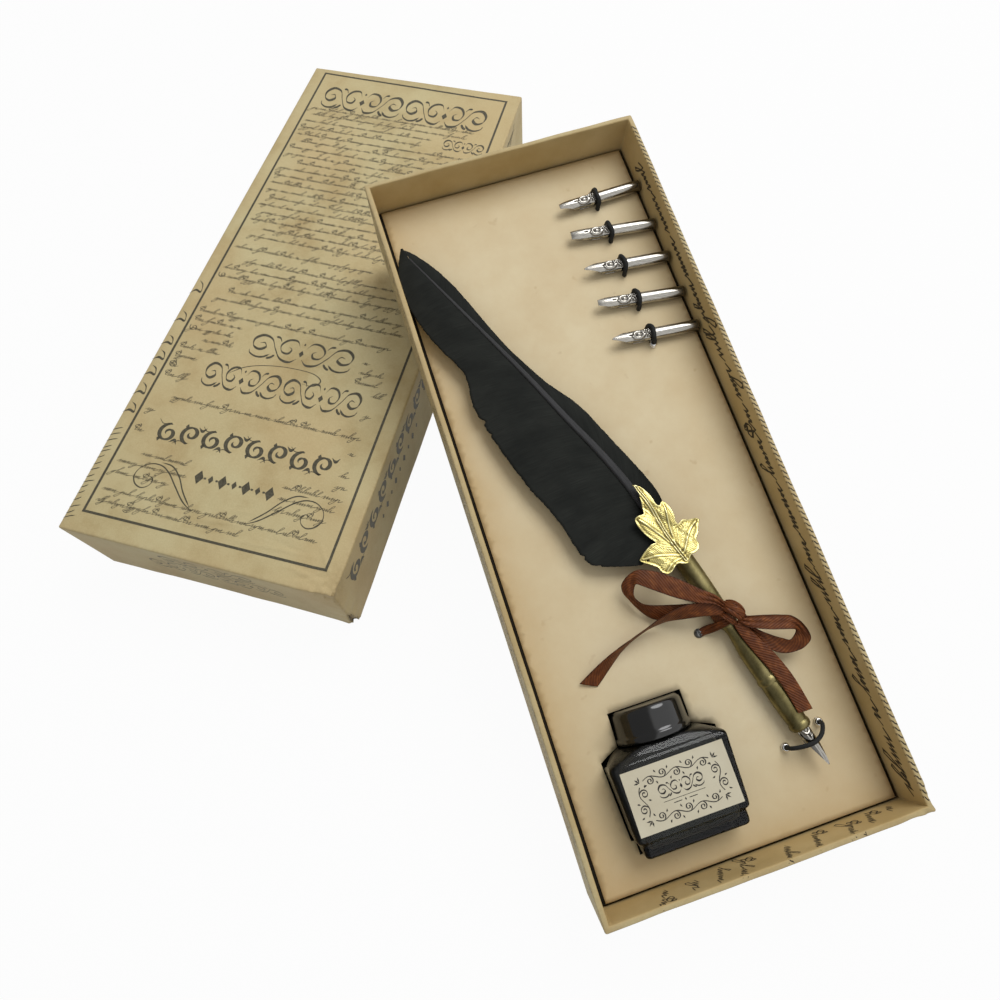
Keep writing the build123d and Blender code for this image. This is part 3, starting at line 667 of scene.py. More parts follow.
def make_quill():
    """The quill, a little flattened on top with a shallow groove below."""
    sides = 28
    turn = circle(sides)
    radii = []
    for radius in shaft_at(SHAFT[:, 1])[1]:
        high = np.sin(turn)
        radii.append(radius * (1 - 0.34 * np.clip(high, 0, 1) ** 3 - 0.16 * np.exp(-((high + 1) / 0.12) ** 2)))
    points, faces = tube(SHAFT, radii, sides)
    piece("quill", points, faces, FEATHER, "insert", quill_paint().material, ["feather_shaft"])


make_quill()

WIDE_EDGE = (
    (-15.8, -8.1), (-22.2, -4.6), (-28.3, -0.7), (-32.1, 3.0), (-33.4, 10.2), (-33.1, 18.5), (-33.9, 30.8),
    (-35.4, 39.7), (-36.2, 50.7), (-36.6, 61.9), (-36.5, 76.6), (-35.7, 83.1), (-33.5, 88.7), (-31.7, 94.7),
    (-32.3, 102.2), (-34.2, 112.0), (-35.6, 124.0), (-35.2, 134.5), (-31.6, 148.6), (-28.2, 154.6),
    (-24.0, 160.0),
)
NARROW_EDGE = (
    (4.6, 3.0), (6.4, 10.0), (6.6, 16.3), (5.9, 24.7), (4.7, 34.1), (3.1, 45.3), (1.6, 56.6), (-0.7, 65.0),
    (-4.3, 73.6), (-7.3, 85.3), (-10.2, 99.4), (-11.6, 111.9), (-13.2, 128.6), (-15.7, 142.0),
    (-19.1, 152.1), (-21.4, 156.8), (-24.0, 160.0),
)


barb_count = 300            # barbs along a web, each a ridge and a hollow


def make_web(name, node, edge, side, roots, bow, droop, splits, seed):
    """One web of the feather: a sheet of barbs that run out from the quill and towards its tip.
    roots pairs the share of the edge that a barb reaches with its place along the quill, bow bends the
    barbs, and splits are the share, depth and width of each gap between them."""
    rng = random.Random(seed)
    outline = even(spline(edge, 500), 900)
    rim = np.linspace(0, 1, len(outline))
    count, cells = barb_count, 22
    share = np.linspace(0, 1, 2 * count + 1)
    out = np.linspace(0, 1, cells + 1)
    rows, cloth = [], []
    torn = np.zeros(len(share))
    for place, depth, width in splits:
        torn += depth * np.exp(-((share - place) / width) ** 2)
    loose = np.interp(share, np.linspace(0, 1, 160), [rng.uniform(-1, 1) for _ in range(160)])
    for k, s in enumerate(share):
        root_y = np.interp(s, *roots)
        middle, radius = shaft_at(root_y)
        start = middle + np.array((side * radius * 0.75 * np.clip((156 - root_y) / 6, -0.6, 1), 0, 0.1))
        under = np.clip((8.0 - root_y) / 8.0, 0, 1)
        start[0] += under * (side * 4.4 - start[0])
        start[2] += under * (2.0 - start[2])
        end_x = np.interp(s, rim, outline[:, 0])
        end_y = np.interp(s, rim, outline[:, 1])
        end = np.array((end_x, end_y, feather_low))
        length = math.hypot(end[0] - start[0], end[1] - start[1])
        ridge = 0.5 if k % 2 else -0.5
        rough = 0.22 * loose[k] + 0.16 * ridge + rng.uniform(-0.10, 0.10)
        reach = 1 + (rough * min(length / 12, 1) - 2.6 * torn[k]) / max(length, 4)
        line = start + (end - start) * (out * reach)[:, None]
        away = unit(np.array((-(end - start)[1], (end - start)[0], 0))) * side
        line = line + away * (bow * length * np.sin(np.pi * out) * (1 - 0.3 * out))[:, None]
        line[:, 2] = (start[2] + (feather_low - start[2]) * out ** 2 * droop
                      + 0.55 * np.sin(np.pi * out ** 0.8) * min(length / 30, 1) + 0.05 * ridge * (1 - out ** 8)
                      + 0.18 * wave(np.full(cells + 1, s * 34) + out * 2, seed + 1) * out)
        rows.append(line)
        cloth.append(level(np.full(cells + 1, s * barb_count), out * length))
    thing = piece(name, np.vstack(rows), grid_faces(len(share), cells + 1, flip=side > 0), FEATHER, "insert",
                  FEATHER_PAINT.material, [node], along=np.vstack(cloth))
    thicken(thing, web_thickness, 0.0, False)


feather_low = 1.9           # height of the webs' outer edges above the pen's axis
web_thickness = 0.10
FEATHER_PAINT = feather_paint()
make_web("web_wide", "feather_vane_wide", WIDE_EDGE, side=-1,
         roots=((0.0, 0.10, 0.30, 0.62, 0.86, 1.0), (-9.0, -1.0, 30.0, 88.0, 138.0, 159.4)),
         bow=0.045, droop=1.0,
         splits=((0.505, 0.5, 0.006), (0.47, 0.2, 0.004), (0.13, 0.25, 0.004), (0.09, 0.2, 0.003)), seed=7)
make_web("web_narrow", "feather_vane_narrow", NARROW_EDGE, side=1,
         roots=((0.0, 0.3, 0.7, 1.0), (-1.0, 36.0, 104.0, 159.4)), bow=-0.05, droop=1.5, splits=(), seed=8)

# ---- Covering paper of both halves -------------------------------------------------------


fine_step = 0.7             # between places near a crumpled corner
plain_step = 2.6            # and elsewhere


def places(length, fine_low, fine_high, reach=20.0):
    """Places along a side, closer together within reach of an end that is crumpled."""
    low = edge_round
    high = length - edge_round
    middle_low = low + (reach if fine_low else 0)
    middle_high = high - (reach if fine_high else 0)
    count = round((middle_high - middle_low) / plain_step)
    fine = round(reach / fine_step)
    run = list(np.linspace(middle_low, middle_high, count + 1))
    if fine_low:
        run = list(np.linspace(low, middle_low, fine, endpoint=False)) + run
    if fine_high:
        run += list(np.linspace(middle_high, high, fine + 1))[1:]
    return np.array(run)


def half_box(width, length, xs, ys, stations):
    """One half of the box as a closed skin.  stations are pairs of inset and height, from the
    edge of the closed face out, up the wall, over the rim and down the inside."""
    xs = xs - width / 2
    turn = np.radians(np.linspace(0, 90, 5))[1:-1]
    base, normal = [], []

    def straight(points, direction):
        for q in points:
            base.append(q)
            normal.append(direction)

    def corner(x, y, start):
        for a in turn + math.radians(start):
            base.append((x + edge_round * math.cos(a), y + edge_round * math.sin(a)))
            normal.append((math.cos(a), math.sin(a)))

    half = width / 2
    straight([(x, 0) for x in xs], (0, -1))
    corner(half - edge_round, edge_round, -90)
    straight([(half, y) for y in ys], (1, 0))
    corner(half - edge_round, length - edge_round, 0)
    straight([(x, length) for x in xs[::-1]], (0, 1))
    corner(edge_round - half, length - edge_round, 90)
    straight([(-half, y) for y in ys[::-1]], (-1, 0))
    corner(edge_round - half, edge_round, 180)
    base, normal = np.array(base), np.array(normal)
    rows = []
    for inset, height in stations:
        flat = base - normal * inset
        flat[:, 0] = np.clip(flat[:, 0], inset - half, half - inset)
        flat[:, 1] = np.clip(flat[:, 1], inset, length - inset)
        rows.append(np.column_stack([flat, np.full(len(flat), height)]))
    count = len(base)
    parts = [(np.vstack(rows), grid_faces(len(stations), count, closed=True))]
    x, y = np.meshgrid(xs, ys)
    for height, flip in ((stations[0][1], True), (stations[-1][1], False)):
        face = np.column_stack([x.ravel(), y.ravel(), np.full(x.size, height)])
        parts.append((face, grid_faces(len(ys), len(xs), flip=flip)))
    return joined(*parts)


def wrap_stations(height, step):
    """The covering paper: out round the edge, up, over the rim, down the inside and back."""
    rim = 0.55
    bottom = [(edge_round * (1 - math.sin(a)), edge_round * (1 - math.cos(a)))
              for a in np.radians((0, 30, 60, 90))]
    up = [(0, z) for z in np.linspace(edge_round, height - rim, round(height / step))[1:]]
    over = [(rim * (1 - math.cos(a)), height - rim * (1 - math.sin(a))) for a in np.radians((30, 60, 90))]
    back = [(wall - i, z) for i, z in over[::-1]]
    down = [(wall, z) for z in np.linspace(height - rim, height - turn_in, 9)]
    inner = wall - paper
    return (bottom + up + over + back + down
            + [(inner, height - turn_in), (inner, height - paper)]
            + [(paper, z) for z in np.linspace(height - paper, edge_round, round(height / step))]
            + [(edge_round, paper)])


def board_stations(height, step):
    """The grey board inside the covering paper."""
    core = wall - paper
    up = [(paper, z) for z in np.linspace(paper + 0.6, height - paper, round(height / step))]
    return ([(edge_round, paper), (paper + 0.2, paper + 0.2)] + up
            + [(core, height - paper), (core, core), (core + 0.2, core)])


def stay_strips(width, length, height):
    """Paper tape round the board's four corners, just under the covering paper."""
    parts = []
    half = width / 2
    zs = np.linspace(1.2, height - 2.4, 24)
    for sx, y, sy in ((-1, 0, 1), (1, 0, 1), (-1, length, -1), (1, length, -1)):
        sides = []
        for inset in (paper + 0.02, paper + 0.14):
            run = [(sx * (half - u), y + sy * inset) for u in np.linspace(stay_leg, edge_round, 8)]
            run += [(sx * (half - edge_round + (edge_round - inset) * math.sin(a)),
                     y + sy * (edge_round - (edge_round - inset) * math.cos(a)))
                    for a in np.radians((22.5, 45, 67.5))]
            run += [(sx * (half - inset), y + sy * u) for u in np.linspace(edge_round, stay_leg, 8)]
            sides.append(run)
        ring = np.array(sides[0] + sides[1][::-1])
        points = np.vstack([np.column_stack([ring, np.full(len(ring), z)]) for z in zs])
        caps = [tuple(range(len(ring)))[::-1], tuple(range(len(points) - len(ring), len(points)))]
        parts.append((points, grid_faces(len(zs), len(ring), closed=True) + caps))
    return joined(*parts)


def near_line(points, a, b):
    """Distance of points from the line between a and b, and the share of the way along it."""
    a, b = np.asarray(a, float), np.asarray(b, float)
    share = np.clip((points - a) @ (b - a) / np.dot(b - a, b - a), 0, 1)
    return np.linalg.norm(points - a - share[:, None] * (b - a), axis=1), share


def crease(points, a, b, height, width):
    """Height of a ridge along the line from a to b that fades at both ends."""
    away, share = near_line(points, a, b)
    return height * np.exp(-(away / width) ** 2) * np.sin(np.pi * np.clip(share, 0.02, 0.98))


# Ends of each crease on the lid's top, its height and its width
LID_CREASES = (
    ((52, 17.5), (84, 21.0), 0.35, 0.8), ((70, 13.0), (121, 15.0), 0.30, 0.7),
    ((88, 18.5), (112, 14.0), -0.30, 0.8), ((60, 24.0), (86, 27.5), 0.2, 0.8),
    ((100, 9.0), (124, 4.0), 0.40, 0.9), ((112, 22.0), (124, 6.0), 0.35, 0.8),
    ((104, 3.0), (125, 9.0), -0.35, 0.9), ((116, 14.0), (126, 26.0), 0.12, 1.8),
)
lid_corner = np.array((lid_width, 0.0, 0.0))
stay_leg = 15.0             # of the tape, each way from a corner
TEAR_TOP = -22.0            # where the tear in the corner starts
TEAR_HALF = 3.2             # half its width at the rim
TEAR_DEPTH = 3.2


def lid_tear(points):
    """How deep inside the torn corner of the lid points lie, from 0 to 1."""
    x, y, z = points.T
    around = np.hypot(lid_width - x, y)
    half = TEAR_HALF * np.clip((TEAR_TOP - z) / (TEAR_TOP + lid_height), 0, 1)
    half = half * (1 + 0.25 * np.sin(z * 2.3)) + 1e-6
    return np.clip(1 - around / half, 0, 1)


def near_walls(x, y, left_x, width, length, reach):
    """How close points lie to the right, left, near and far wall: 1 on it, 0 from reach inwards."""
    away = (left_x + width - x, x - left_x, y, length - y)
    return [np.clip(1 - a / reach, 0, 1) for a in away]


def lid_bend(points):
    """The lid's wear: a slightly hollow top, uneven walls and a crushed near right corner."""
    p = np.array(points, float)
    x, y, z = p.T.copy()
    flat = np.column_stack([x, y])
    over = np.clip(1 + z / 1.2, 0, 1)
    inside = np.sin(np.pi * np.clip(x / lid_width, 0, 1)) * np.sin(np.pi * np.clip(y / lid_length, 0, 1))
    dip = -0.45 * inside + 0.08 * wave(x * 0.11 + 1.7, 3) * wave(y * 0.06, 4)
    for a, b, height, width in LID_CREASES:
        dip = dip + crease(flat, a, b, height, width)
    p[:, 2] += over * dip
    down = np.clip(-z / lid_height, 0, 1)
    belly = np.sin(np.pi * down * 0.85)
    lengthways = np.sin(np.pi * np.clip(y / lid_length, 0, 1))
    middle = np.sin(np.pi * np.clip(x / lid_width, 0, 1))
    right, left, near, far = near_walls(x, y, 0.0, lid_width, lid_length, 3.5)
    p[:, 0] += (left - right) * lengthways * belly * 0.7 + right * 0.18 * wave(y * 0.09, 8) * belly
    p[:, 1] += (near - far) * middle * belly * 0.9 + near * 0.22 * wave(x * 0.12, 9) * belly
    away = np.linalg.norm((np.array([x, y, z]).T - lid_corner) * (1, 1, 0.75), axis=1)
    crush = np.clip(1 - away / 17, 0, 1) ** 1.5
    crumple = wave(x * 0.9 + y * 0.5, 21) * wave(y * 0.8 - z * 0.9, 22) + 0.6 * wave(z * 1.3 + x, 23)
    fine = 0.34 * np.abs(wave(x * 1.7 - y * 1.1, 24)) - 0.30 * np.abs(wave(y * 1.9 + z * 1.2, 25))
    crumple = crumple + fine / 0.55
    p += crush[:, None] * (np.array((-1.5, 1.4, -1.7)) + 0.55 * crumple[:, None] * np.array((1, -1, 1)))
    slack = np.exp(-(np.hypot(lid_width - x, y) / 6) ** 2) * np.clip((-z - 6) / 20, 0, 1)
    p[:, 0] += slack * 0.45 * wave(z * 0.9, 31)
    p[:, 1] += slack * 0.45 * wave(z * 0.8 + 2, 32)
    depth = lid_tear(np.array([x, y, z]).T)
    p[:, 0] -= depth * TEAR_DEPTH
    p[:, 1] += depth * TEAR_DEPTH
    return p


def tray_bend(points):
    """The tray's wear: walls a little bowed and a crumpled near right corner."""
    p = np.array(points, float)
    x, y, z = p.T.copy()
    half = tray_width / 2
    high = np.clip(z / tray_height, 0, 1)
    right, left, near, far = near_walls(x, y, -half, tray_width, tray_length, 4.0)
    p[:, 0] += (right * 0.12 * wave(y * 0.07, 41) - left * 0.12 * wave(y * 0.06, 42)) * high
    p[:, 1] += (near * 0.12 * wave(x * 0.1, 43) + far * 0.12 * wave(x * 0.09, 44)) * high
    p[:, 2] += 0.10 * wave((x + y) * 0.12, 45) * np.clip(high * 4 - 3, 0, 1)
    away = np.hypot(half - x, y)
    near_corner = np.exp(-(away / 9) ** 2)
    ridges = wave(z * 0.75 + x * 0.35, 51) + 0.7 * wave(z * 0.5 - y * 0.5, 52)
    outer = np.clip((1 - np.minimum(half - x, y) / 1.2), 0, 1)
    p[:, 0] += near_corner * outer * (0.6 * ridges - 0.3)
    p[:, 1] -= near_corner * outer * (0.6 * ridges - 0.3)
    top = np.clip((z - tray_height + 9) / 9, 0, 1)
    p[:, 2] += near_corner * top * (0.35 * wave(x * 0.8 + y * 0.7, 53) - 0.6)
    return p


def paper_paint():
    """Printed paper, tan and mottled, with painted shade as a deeper brown on its inside faces, near black painted
    shade in the lid's torn corner, and paler where its edges are rubbed.
    """
    paint = Paint("wrap_paper", rgb(197, 178, 132), 0.62, specular_ior_level=0.28)
    local = paint.vector()
    wear = paint.vector("along")
    cloud = paint.noise(local, 0.035, 5, 0.6)
    tone = paint.ramp(cloud, (0.30, rgb(176, 155, 108)), (0.5, rgb(196, 181, 136)), (0.70, rgb(203, 191, 147)))
    warm = paint.noise(local, 0.012, 3, 0.5)
    tone = paint.mix(paint.ramp(warm, (0.42, 0.0), (0.62, 0.55)), tone, rgb(199, 173, 125))
    grain = paint.noise(local, 1.6, 3, 0.7)
    tone = paint.mix(0.10, tone, paint.ramp(grain, (0.3, rgb(120, 98, 62)), (0.7, rgb(236, 222, 182))))
    # Painted shade: the inside faces (along Z) take a deeper brown that stands for their shade and the warm light
    # bounced between the walls.
    inner = paint.mix(paint.ramp(cloud, (0.3, 0.0), (0.7, 1.0)), rgb(180, 154, 102), rgb(200, 177, 128))
    tone = paint.mix(paint.axis(wear, "Z"), tone, inner)
    rub = paint.math("MULTIPLY", paint.axis(wear, "Y"), paint.ramp(paint.noise(local, 0.5, 6, 0.7),
                                                                   (0.42, 0.15), (0.62, 1.0)))
    tone = paint.mix(rub, tone, rgb(178, 156, 114))
    # Painted shade: near black in the torn corner (along X), for the dark hollow of the tear.
    tone = paint.mix(paint.axis(wear, "X"), tone, rgb(26, 22, 16))
    paint.set("Base Color", tone)
    paint.bump(grain, 0.10, 0.10)
    paint.bump(paint.noise(local, 0.22, 4, 0.5), 0.25, 0.35)
    return paint


def rub_of(points, width, length, height):
    """How much each point of a box half is rubbed: most along its edges and at its corners."""
    x, y, z = points.T
    to_x = np.minimum(x + width / 2, width / 2 - x)
    to_y = np.minimum(y, length - y)
    to_z = np.minimum(z, height - z)
    nearest = np.sort(np.column_stack([to_x, to_y, to_z]), axis=1)
    edge = np.exp(-np.clip(nearest[:, 1], 0, None) / 1.3)
    point = np.exp(-np.clip(nearest[:, 2], 0, None) / 5.0)
    return np.clip(0.75 * edge + 0.6 * edge * point, 0, 1)


def to_lid(points):
    """From a box half's own frame to the LID frame: turned over, measured from its corner."""
    return np.column_stack([lid_width / 2 - points[:, 0], points[:, 1], -points[:, 2]])


PAPER = paper_paint()


def lid_held(laid):
    """Where the lid's board and tape keep back from the crushed corner of its paper."""
    right = lid_width - laid[:, 0]
    depth = np.minimum(np.minimum(right, laid[:, 1]), -laid[:, 2])
    held = np.clip(1.4 - np.linalg.norm(laid - lid_corner, axis=1) / 24, 0, 1)
    held = held * np.clip(1.2 - depth / 1.5, 0, 1)
    return lid_bend(laid) + held[:, None] * (-1.5, 1.5, -1.2)


lid_step = 1.5              # between rows of points up the walls
tray_step = 2.0


def make_lid():
    """The lid's paper, board and corner tape."""
    xs = places(lid_width, True, False)
    ys = places(lid_length, True, False, reach=32.0)
    points, faces = half_box(lid_width, lid_length, xs, ys, wrap_stations(lid_height, lid_step))
    laid = to_lid(points)
    # X marks the torn corner for its near black painted shade, Y the rubbed edges.
    wear = level(np.clip(lid_tear(laid) * 3, 0, 1), rub_of(points, lid_width, lid_length, lid_height))
    depth = np.minimum(lid_width / 2 - np.abs(points[:, 0]),
                       np.minimum(points[:, 1], lid_length - points[:, 1]))
    # Z marks the inside faces, where the paper takes its painted shade.
    wear[:, 2] = (points[:, 2] > wall) & (depth > 1.9)
    merge(piece("lid_paper", lid_bend(laid), faces, LID, "lid", PAPER.material, ["lid_wrap"],
                along=wear))
    points, faces = half_box(lid_width, lid_length, xs, ys, board_stations(lid_height, lid_step))
    laid = to_lid(points)
    merge(piece("lid_board_worn", lid_held(laid), faces, LID, "lid", BOARD.material, ["lid_board"]))
    points, faces = stay_strips(lid_width, lid_length, lid_height)
    merge(piece("lid_stays_worn", lid_held(to_lid(points)), faces, LID, "lid", STAY.material,
                ["lid_corner_stays"]))


def tray_held(points):
    """Where the tray's board and tape keep back from the crumpled corner of its paper."""
    right = tray_width / 2 - points[:, 0]
    near = points[:, 1]
    held = np.clip(1.3 - np.hypot(right, near) / 14, 0, 1) * np.clip(1.2 - np.minimum(right, near) / 1.5, 0, 1)
    return tray_bend(points) + held[:, None] * (-1.0, 1.0, -0.8)


def make_tray():
    """The tray's board, corner tape and paper."""
    xs = places(tray_width, False, True)
    ys = places(tray_length, True, False)
    points, faces = half_box(tray_width, tray_length, xs, ys, board_stations(tray_height, tray_step))
    merge(piece("tray_board_worn", tray_held(points), faces, TRAY, "tray", BOARD.material, ["tray_board"]))
    points, faces = stay_strips(tray_width, tray_length, tray_height)
    merge(piece("tray_stays_worn", tray_held(points), faces, TRAY, "tray", STAY.material,
                ["tray_corner_stays"]))
    points, faces = half_box(tray_width, tray_length, xs, ys, wrap_stations(tray_height, tray_step))
    wear = np.zeros((len(points), 3))
    wear[:, 1] = rub_of(points, tray_width, tray_length, tray_height)
    depth = np.minimum(tray_width / 2 - np.abs(points[:, 0]),
                       np.minimum(points[:, 1], tray_length - points[:, 1]))
    # Z marks the inside faces, where the paper takes its painted shade.
    wear[:, 2] = np.clip((depth - 1.2) / 0.8, 0, 1) * (points[:, 2] > wall)
    merge(piece("tray_paper", tray_bend(points), faces, TRAY, "tray", PAPER.material, ["tray_wrap"],
                along=wear))


def board_paint():
    """Grey board with coarse fibres."""
    paint = Paint("grey_board", rgb(150, 140, 124), 0.9)
    space = paint.space()
    fibre = paint.noise(space, 900, 4, 0.7)
    paint.set("Base Color", paint.ramp(fibre, (0.3, rgb(128, 119, 104)), (0.7, rgb(168, 158, 140))))
    paint.bump(fibre, 0.3, 0.1)
    return paint


def plain_paper(name, low, high, rough):
    """Uncoated paper with short fibres."""
    paint = Paint(name, low, rough, specular_ior_level=0.2)
    space = paint.space()
    fibre = paint.noise(space, 700, 4, 0.7)
    paint.set("Base Color", paint.ramp(paint.noise(space, 45, 4), (0.3, low), (0.7, high)))
    paint.bump(fibre, 0.2, 0.06)
    return paint


BOARD = board_paint()
LINING = plain_paper("lining_paper", rgb(206, 194, 166), rgb(220, 210, 184), 0.8)
STAY = plain_paper("stay_tape", rgb(176, 158, 124), rgb(192, 176, 142), 0.85)
make_lid()
make_tray()
dress("lid_lining", LINING)
dress("tray_lining", LINING)

LEAF_OUTLINE = (
    (-1.1, 19.8), (-1.0, 17.6), (-1.2, 15.1), (-2.2, 12.2), (-3.2, 9.8), (-4.1, 7.9), (-6.3, 8.3), (-8.1, 8.0),
    (-8.8, 5.5), (-8.3, 1.0), (-7.4, -1.6), (-6.6, -3.9), (-8.2, -3.6), (-10.0, -3.9), (-12.6, -4.7),
    (-15.6, -6.2), (-14.9, -7.8), (-14.1, -8.9), (-12.4, -10.8), (-11.4, -12.4), (-11.3, -14.4),
    (-9.4, -16.3), (-7.6, -16.3), (-6.0, -15.5), (-4.2, -15.0), (-2.3, -16.2), (-0.6, -16.9), (0.7, -15.9),
    (2.6, -14.9), (4.4, -15.1), (6.1, -14.7), (7.5, -13.2), (7.7, -11.3), (8.7, -10.3), (9.9, -9.7),
    (11.2, -8.4), (12.7, -6.8), (14.4, -5.5), (13.4, -4.4), (10.6, -3.5), (7.4, -2.1), (5.1, -2.6), (4.9, -0.8),
    (5.7, 0.7), (6.2, 2.6), (6.3, 5.0), (5.2, 8.0), (3.9, 7.7), (2.9, 7.3), (2.3, 8.8), (2.6, 11.7),
    (1.8, 16.0), (0.4, 18.6),
)
LEAF_TIPS = ((-1.1, 19.8), (-15.6, -6.2), (14.4, -5.5))
# Veins: a run of points, its width and its height
LEAF_VEINS = (
    (((-0.4, 18.5), (-0.1, 9.0), (-0.5, 3.2), (-1.0, -2.5), (-0.9, -9.1), (-0.5, -15.5)), 0.26, 0.42, 0.42),
    (((-7.2, 7.0), (-5.1, 2.0), (-3.0, -3.4), (-1.6, -8.1)), 0.24, 0.30, 0.0),
    (((4.9, 7.0), (3.6, 3.4), (2.3, 0.3), (-0.5, -8.7)), 0.24, 0.28, 0.0),
    (((12.8, -5.2), (9.2, -6.3), (6.0, -8.1), (1.9, -11.6), (-0.3, -13.1)), 0.24, 0.32, 0.0),
    (((-14.4, -6.6), (-9.9, -8.1), (-4.6, -10.9), (-0.8, -13.5)), 0.24, 0.32, 0.0),
    (((-9.4, -15.3), (-5.8, -14.0), (-0.8, -14.1)), 0.22, 0.28, 0.0),
    (((-2.8, 9.3), (-1.5, 4.0), (-1.0, -1.5)), 0.18, 0.16, 0.0),
    (((3.6, -4.0), (1.3, -8.7), (-0.5, -12.3)), 0.18, 0.16, 0.0),
)
LEAF_HOLE = (-13.0, -8.0)
leaf_level = 4.65           # of the leaf above the quill's axis
leaf_thickness = 0.45


def divided(loop, step):
    """A closed loop with points no further than step apart."""
    out = []
    for a, b in zip(loop, list(loop[1:]) + [loop[0]]):
        a, b = np.asarray(a, float), np.asarray(b, float)
        count = max(1, math.ceil(np.linalg.norm(b - a) / step))
        out += [a + (b - a) * k / count for k in range(count)]
    return np.array(out)


def inside(points, loop):
    """Which points lie inside a closed loop."""
    x, y = points[:, 0], points[:, 1]
    within = np.zeros(len(points), bool)
    for (x0, y0), (x1, y1) in zip(loop, np.roll(loop, -1, axis=0)):
        if y0 != y1:
            crossing = (y0 > y) != (y1 > y)
            within ^= crossing & (x < (x1 - x0) * (y - y0) / (y1 - y0) + x0)
    return within


def to_loop(points, loop):
    """Distance of points from a closed loop."""
    near = np.full(len(points), 1e9)
    for a, b in zip(loop, np.roll(loop, -1, axis=0)):
        near = np.minimum(near, near_line(points, a, b)[0])
    return near


def sheet(outline, holes, spacing, seed=1):
    """Flat points and triangles that fill an outline with holes."""
    loops = [np.asarray(outline, float)] + [np.asarray(h, float) for h in holes]
    low, high = loops[0].min(axis=0), loops[0].max(axis=0)
    rows = np.arange(low[1], high[1], spacing * 0.87)
    grid = [(x + spacing * 0.5 * (k % 2), y) for k, y in enumerate(rows)
            for x in np.arange(low[0], high[0], spacing)]
    rng = np.random.default_rng(seed)
    grid = np.array(grid) + rng.uniform(-0.12, 0.12, (len(grid), 2)) * spacing
    grid = grid[inside(grid, loops[0])]
    for loop in loops:
        grid = grid[to_loop(grid, loop) > 0.55 * spacing]
    for hole in loops[1:]:
        grid = grid[~inside(grid, hole)]
    points, edges = [], []
    for loop in loops:
        start = len(points)
        points += [tuple(q) for q in loop]
        edges += [(start + i, start + (i + 1) % len(loop)) for i in range(len(loop))]
    points += [tuple(q) for q in grid]
    made = delaunay_2d_cdt([Vector(q) for q in points], edges, [], 0, 1e-6)
    flat = np.array([tuple(q) for q in made[0]])
    faces = np.array([f for f in made[2] if len(f) == 3])
    middle = flat[faces].mean(axis=1)
    keep = inside(middle, loops[0])
    for hole in loops[1:]:
        keep &= ~inside(middle, hole)
    return flat, [tuple(int(i) for i in f) for f in faces[keep]]


def near_run(points, run):
    """Distance from a run of points, and the distance along the run."""
    best = np.full(len(points), 1e9)
    along = np.zeros(len(points))
    covered = 0.0
    for a, b in zip(run, run[1:]):
        a, b = np.asarray(a, float), np.asarray(b, float)
        away, share = near_line(points, a, b)
        length = np.linalg.norm(b - a)
        closer = away < best
        best = np.where(closer, away, best)
        along = np.where(closer, covered + share * length, along)
        covered += length
    return best, along


def leaf_relief(flat, rim):
    """Height of the leaf's pressed relief."""
    height = 0.18 * np.exp(-(rim / 0.42) ** 2) - 0.14 * np.exp(-((rim - 1.0) / 0.45) ** 2)
    nearest = np.full(len(flat), 1e9)
    phase = np.zeros(len(flat))
    for run, width, rise, split in LEAF_VEINS:
        run = spline(run, 24)
        away, along = near_run(flat, run)
        height += (rise * np.exp(-((away - split) / width) ** 2)
                   - 0.6 * rise * np.exp(-((away - split - 0.6) / 0.3) ** 2))
        if split:
            height -= 0.45 * np.exp(-(away / 0.22) ** 2)
        closer = away < nearest
        nearest = np.where(closer, away, nearest)
        phase = np.where(closer, along + away * 0.9, phase)
    ribs = np.clip(nearest - 0.5, 0, 1) * np.clip(rim / 1.2, 0, 1)
    height += 0.21 * ribs * np.sin(phase * 7.5 + 0.6 * wave(flat[:, 0] * 2, 3))
    height += 0.05 * wave(flat[:, 0] * 5 + flat[:, 1] * 3, 12) * wave(flat[:, 1] * 6, 13)
    return height


def make_leaf():
    """The pressed leaf ornament, with its sharp tips, its small hole and its curled lobes."""
    sharp = [LEAF_OUTLINE.index(t) for t in LEAF_TIPS]
    loops = []
    order = LEAF_OUTLINE[sharp[0]:] + LEAF_OUTLINE[:sharp[0]] + (LEAF_OUTLINE[sharp[0]],)
    ends = sorted((order.index(t) for t in LEAF_TIPS)) + [len(order) - 1]
    for a, b in zip(ends, ends[1:]):
        loops.append(even(spline(order[a:b + 1], 200), 8 * (b - a))[:-1])
    outline = np.vstack(loops)
    hole = np.array([(LEAF_HOLE[0] + 0.55 * math.cos(a), LEAF_HOLE[1] + 0.4 * math.sin(a))
                     for a in circle(14)])
    flat, faces = sheet(outline, [hole], 0.27)
    rim = to_loop(flat, outline)
    x, y = flat.T
    relief = leaf_relief(flat, rim)
    z = leaf_level + 0.6 * relief
    z += 0.9 * np.exp(-(((x + 5.5) / 3.2) ** 2 + ((y - 4.5) / 5) ** 2))
    z += 0.8 * np.exp(-(((x - 3.6) / 2.2) ** 2 + ((y - 3.5) / 4) ** 2))
    z += 0.7 * np.exp(-((x / 2.5) ** 2 + ((y - 11) / 5) ** 2))
    z -= 0.075 * np.clip(x - 4.5, 0, None) ** 1.6 * np.clip((0.5 - y) / 4, 0, 1)
    z -= 0.045 * np.clip(-x - 8, 0, None) ** 1.6
    z += 0.35 * np.clip((y - 15) / 4, 0, 1) ** 2 + 0.12 * wave(x * 0.7 + y * 0.3, 33)
    # The relief's height, kept for the gold's painted highlight and shade.
    height = level(np.clip(0.5 + relief, 0, 1), rim)
    thing = piece("leaf", np.column_stack([x, y, z]), faces, FEATHER, "insert", gold_paint().material,
                  ["leaf_ornament"], along=height)
    thicken(thing, leaf_thickness)


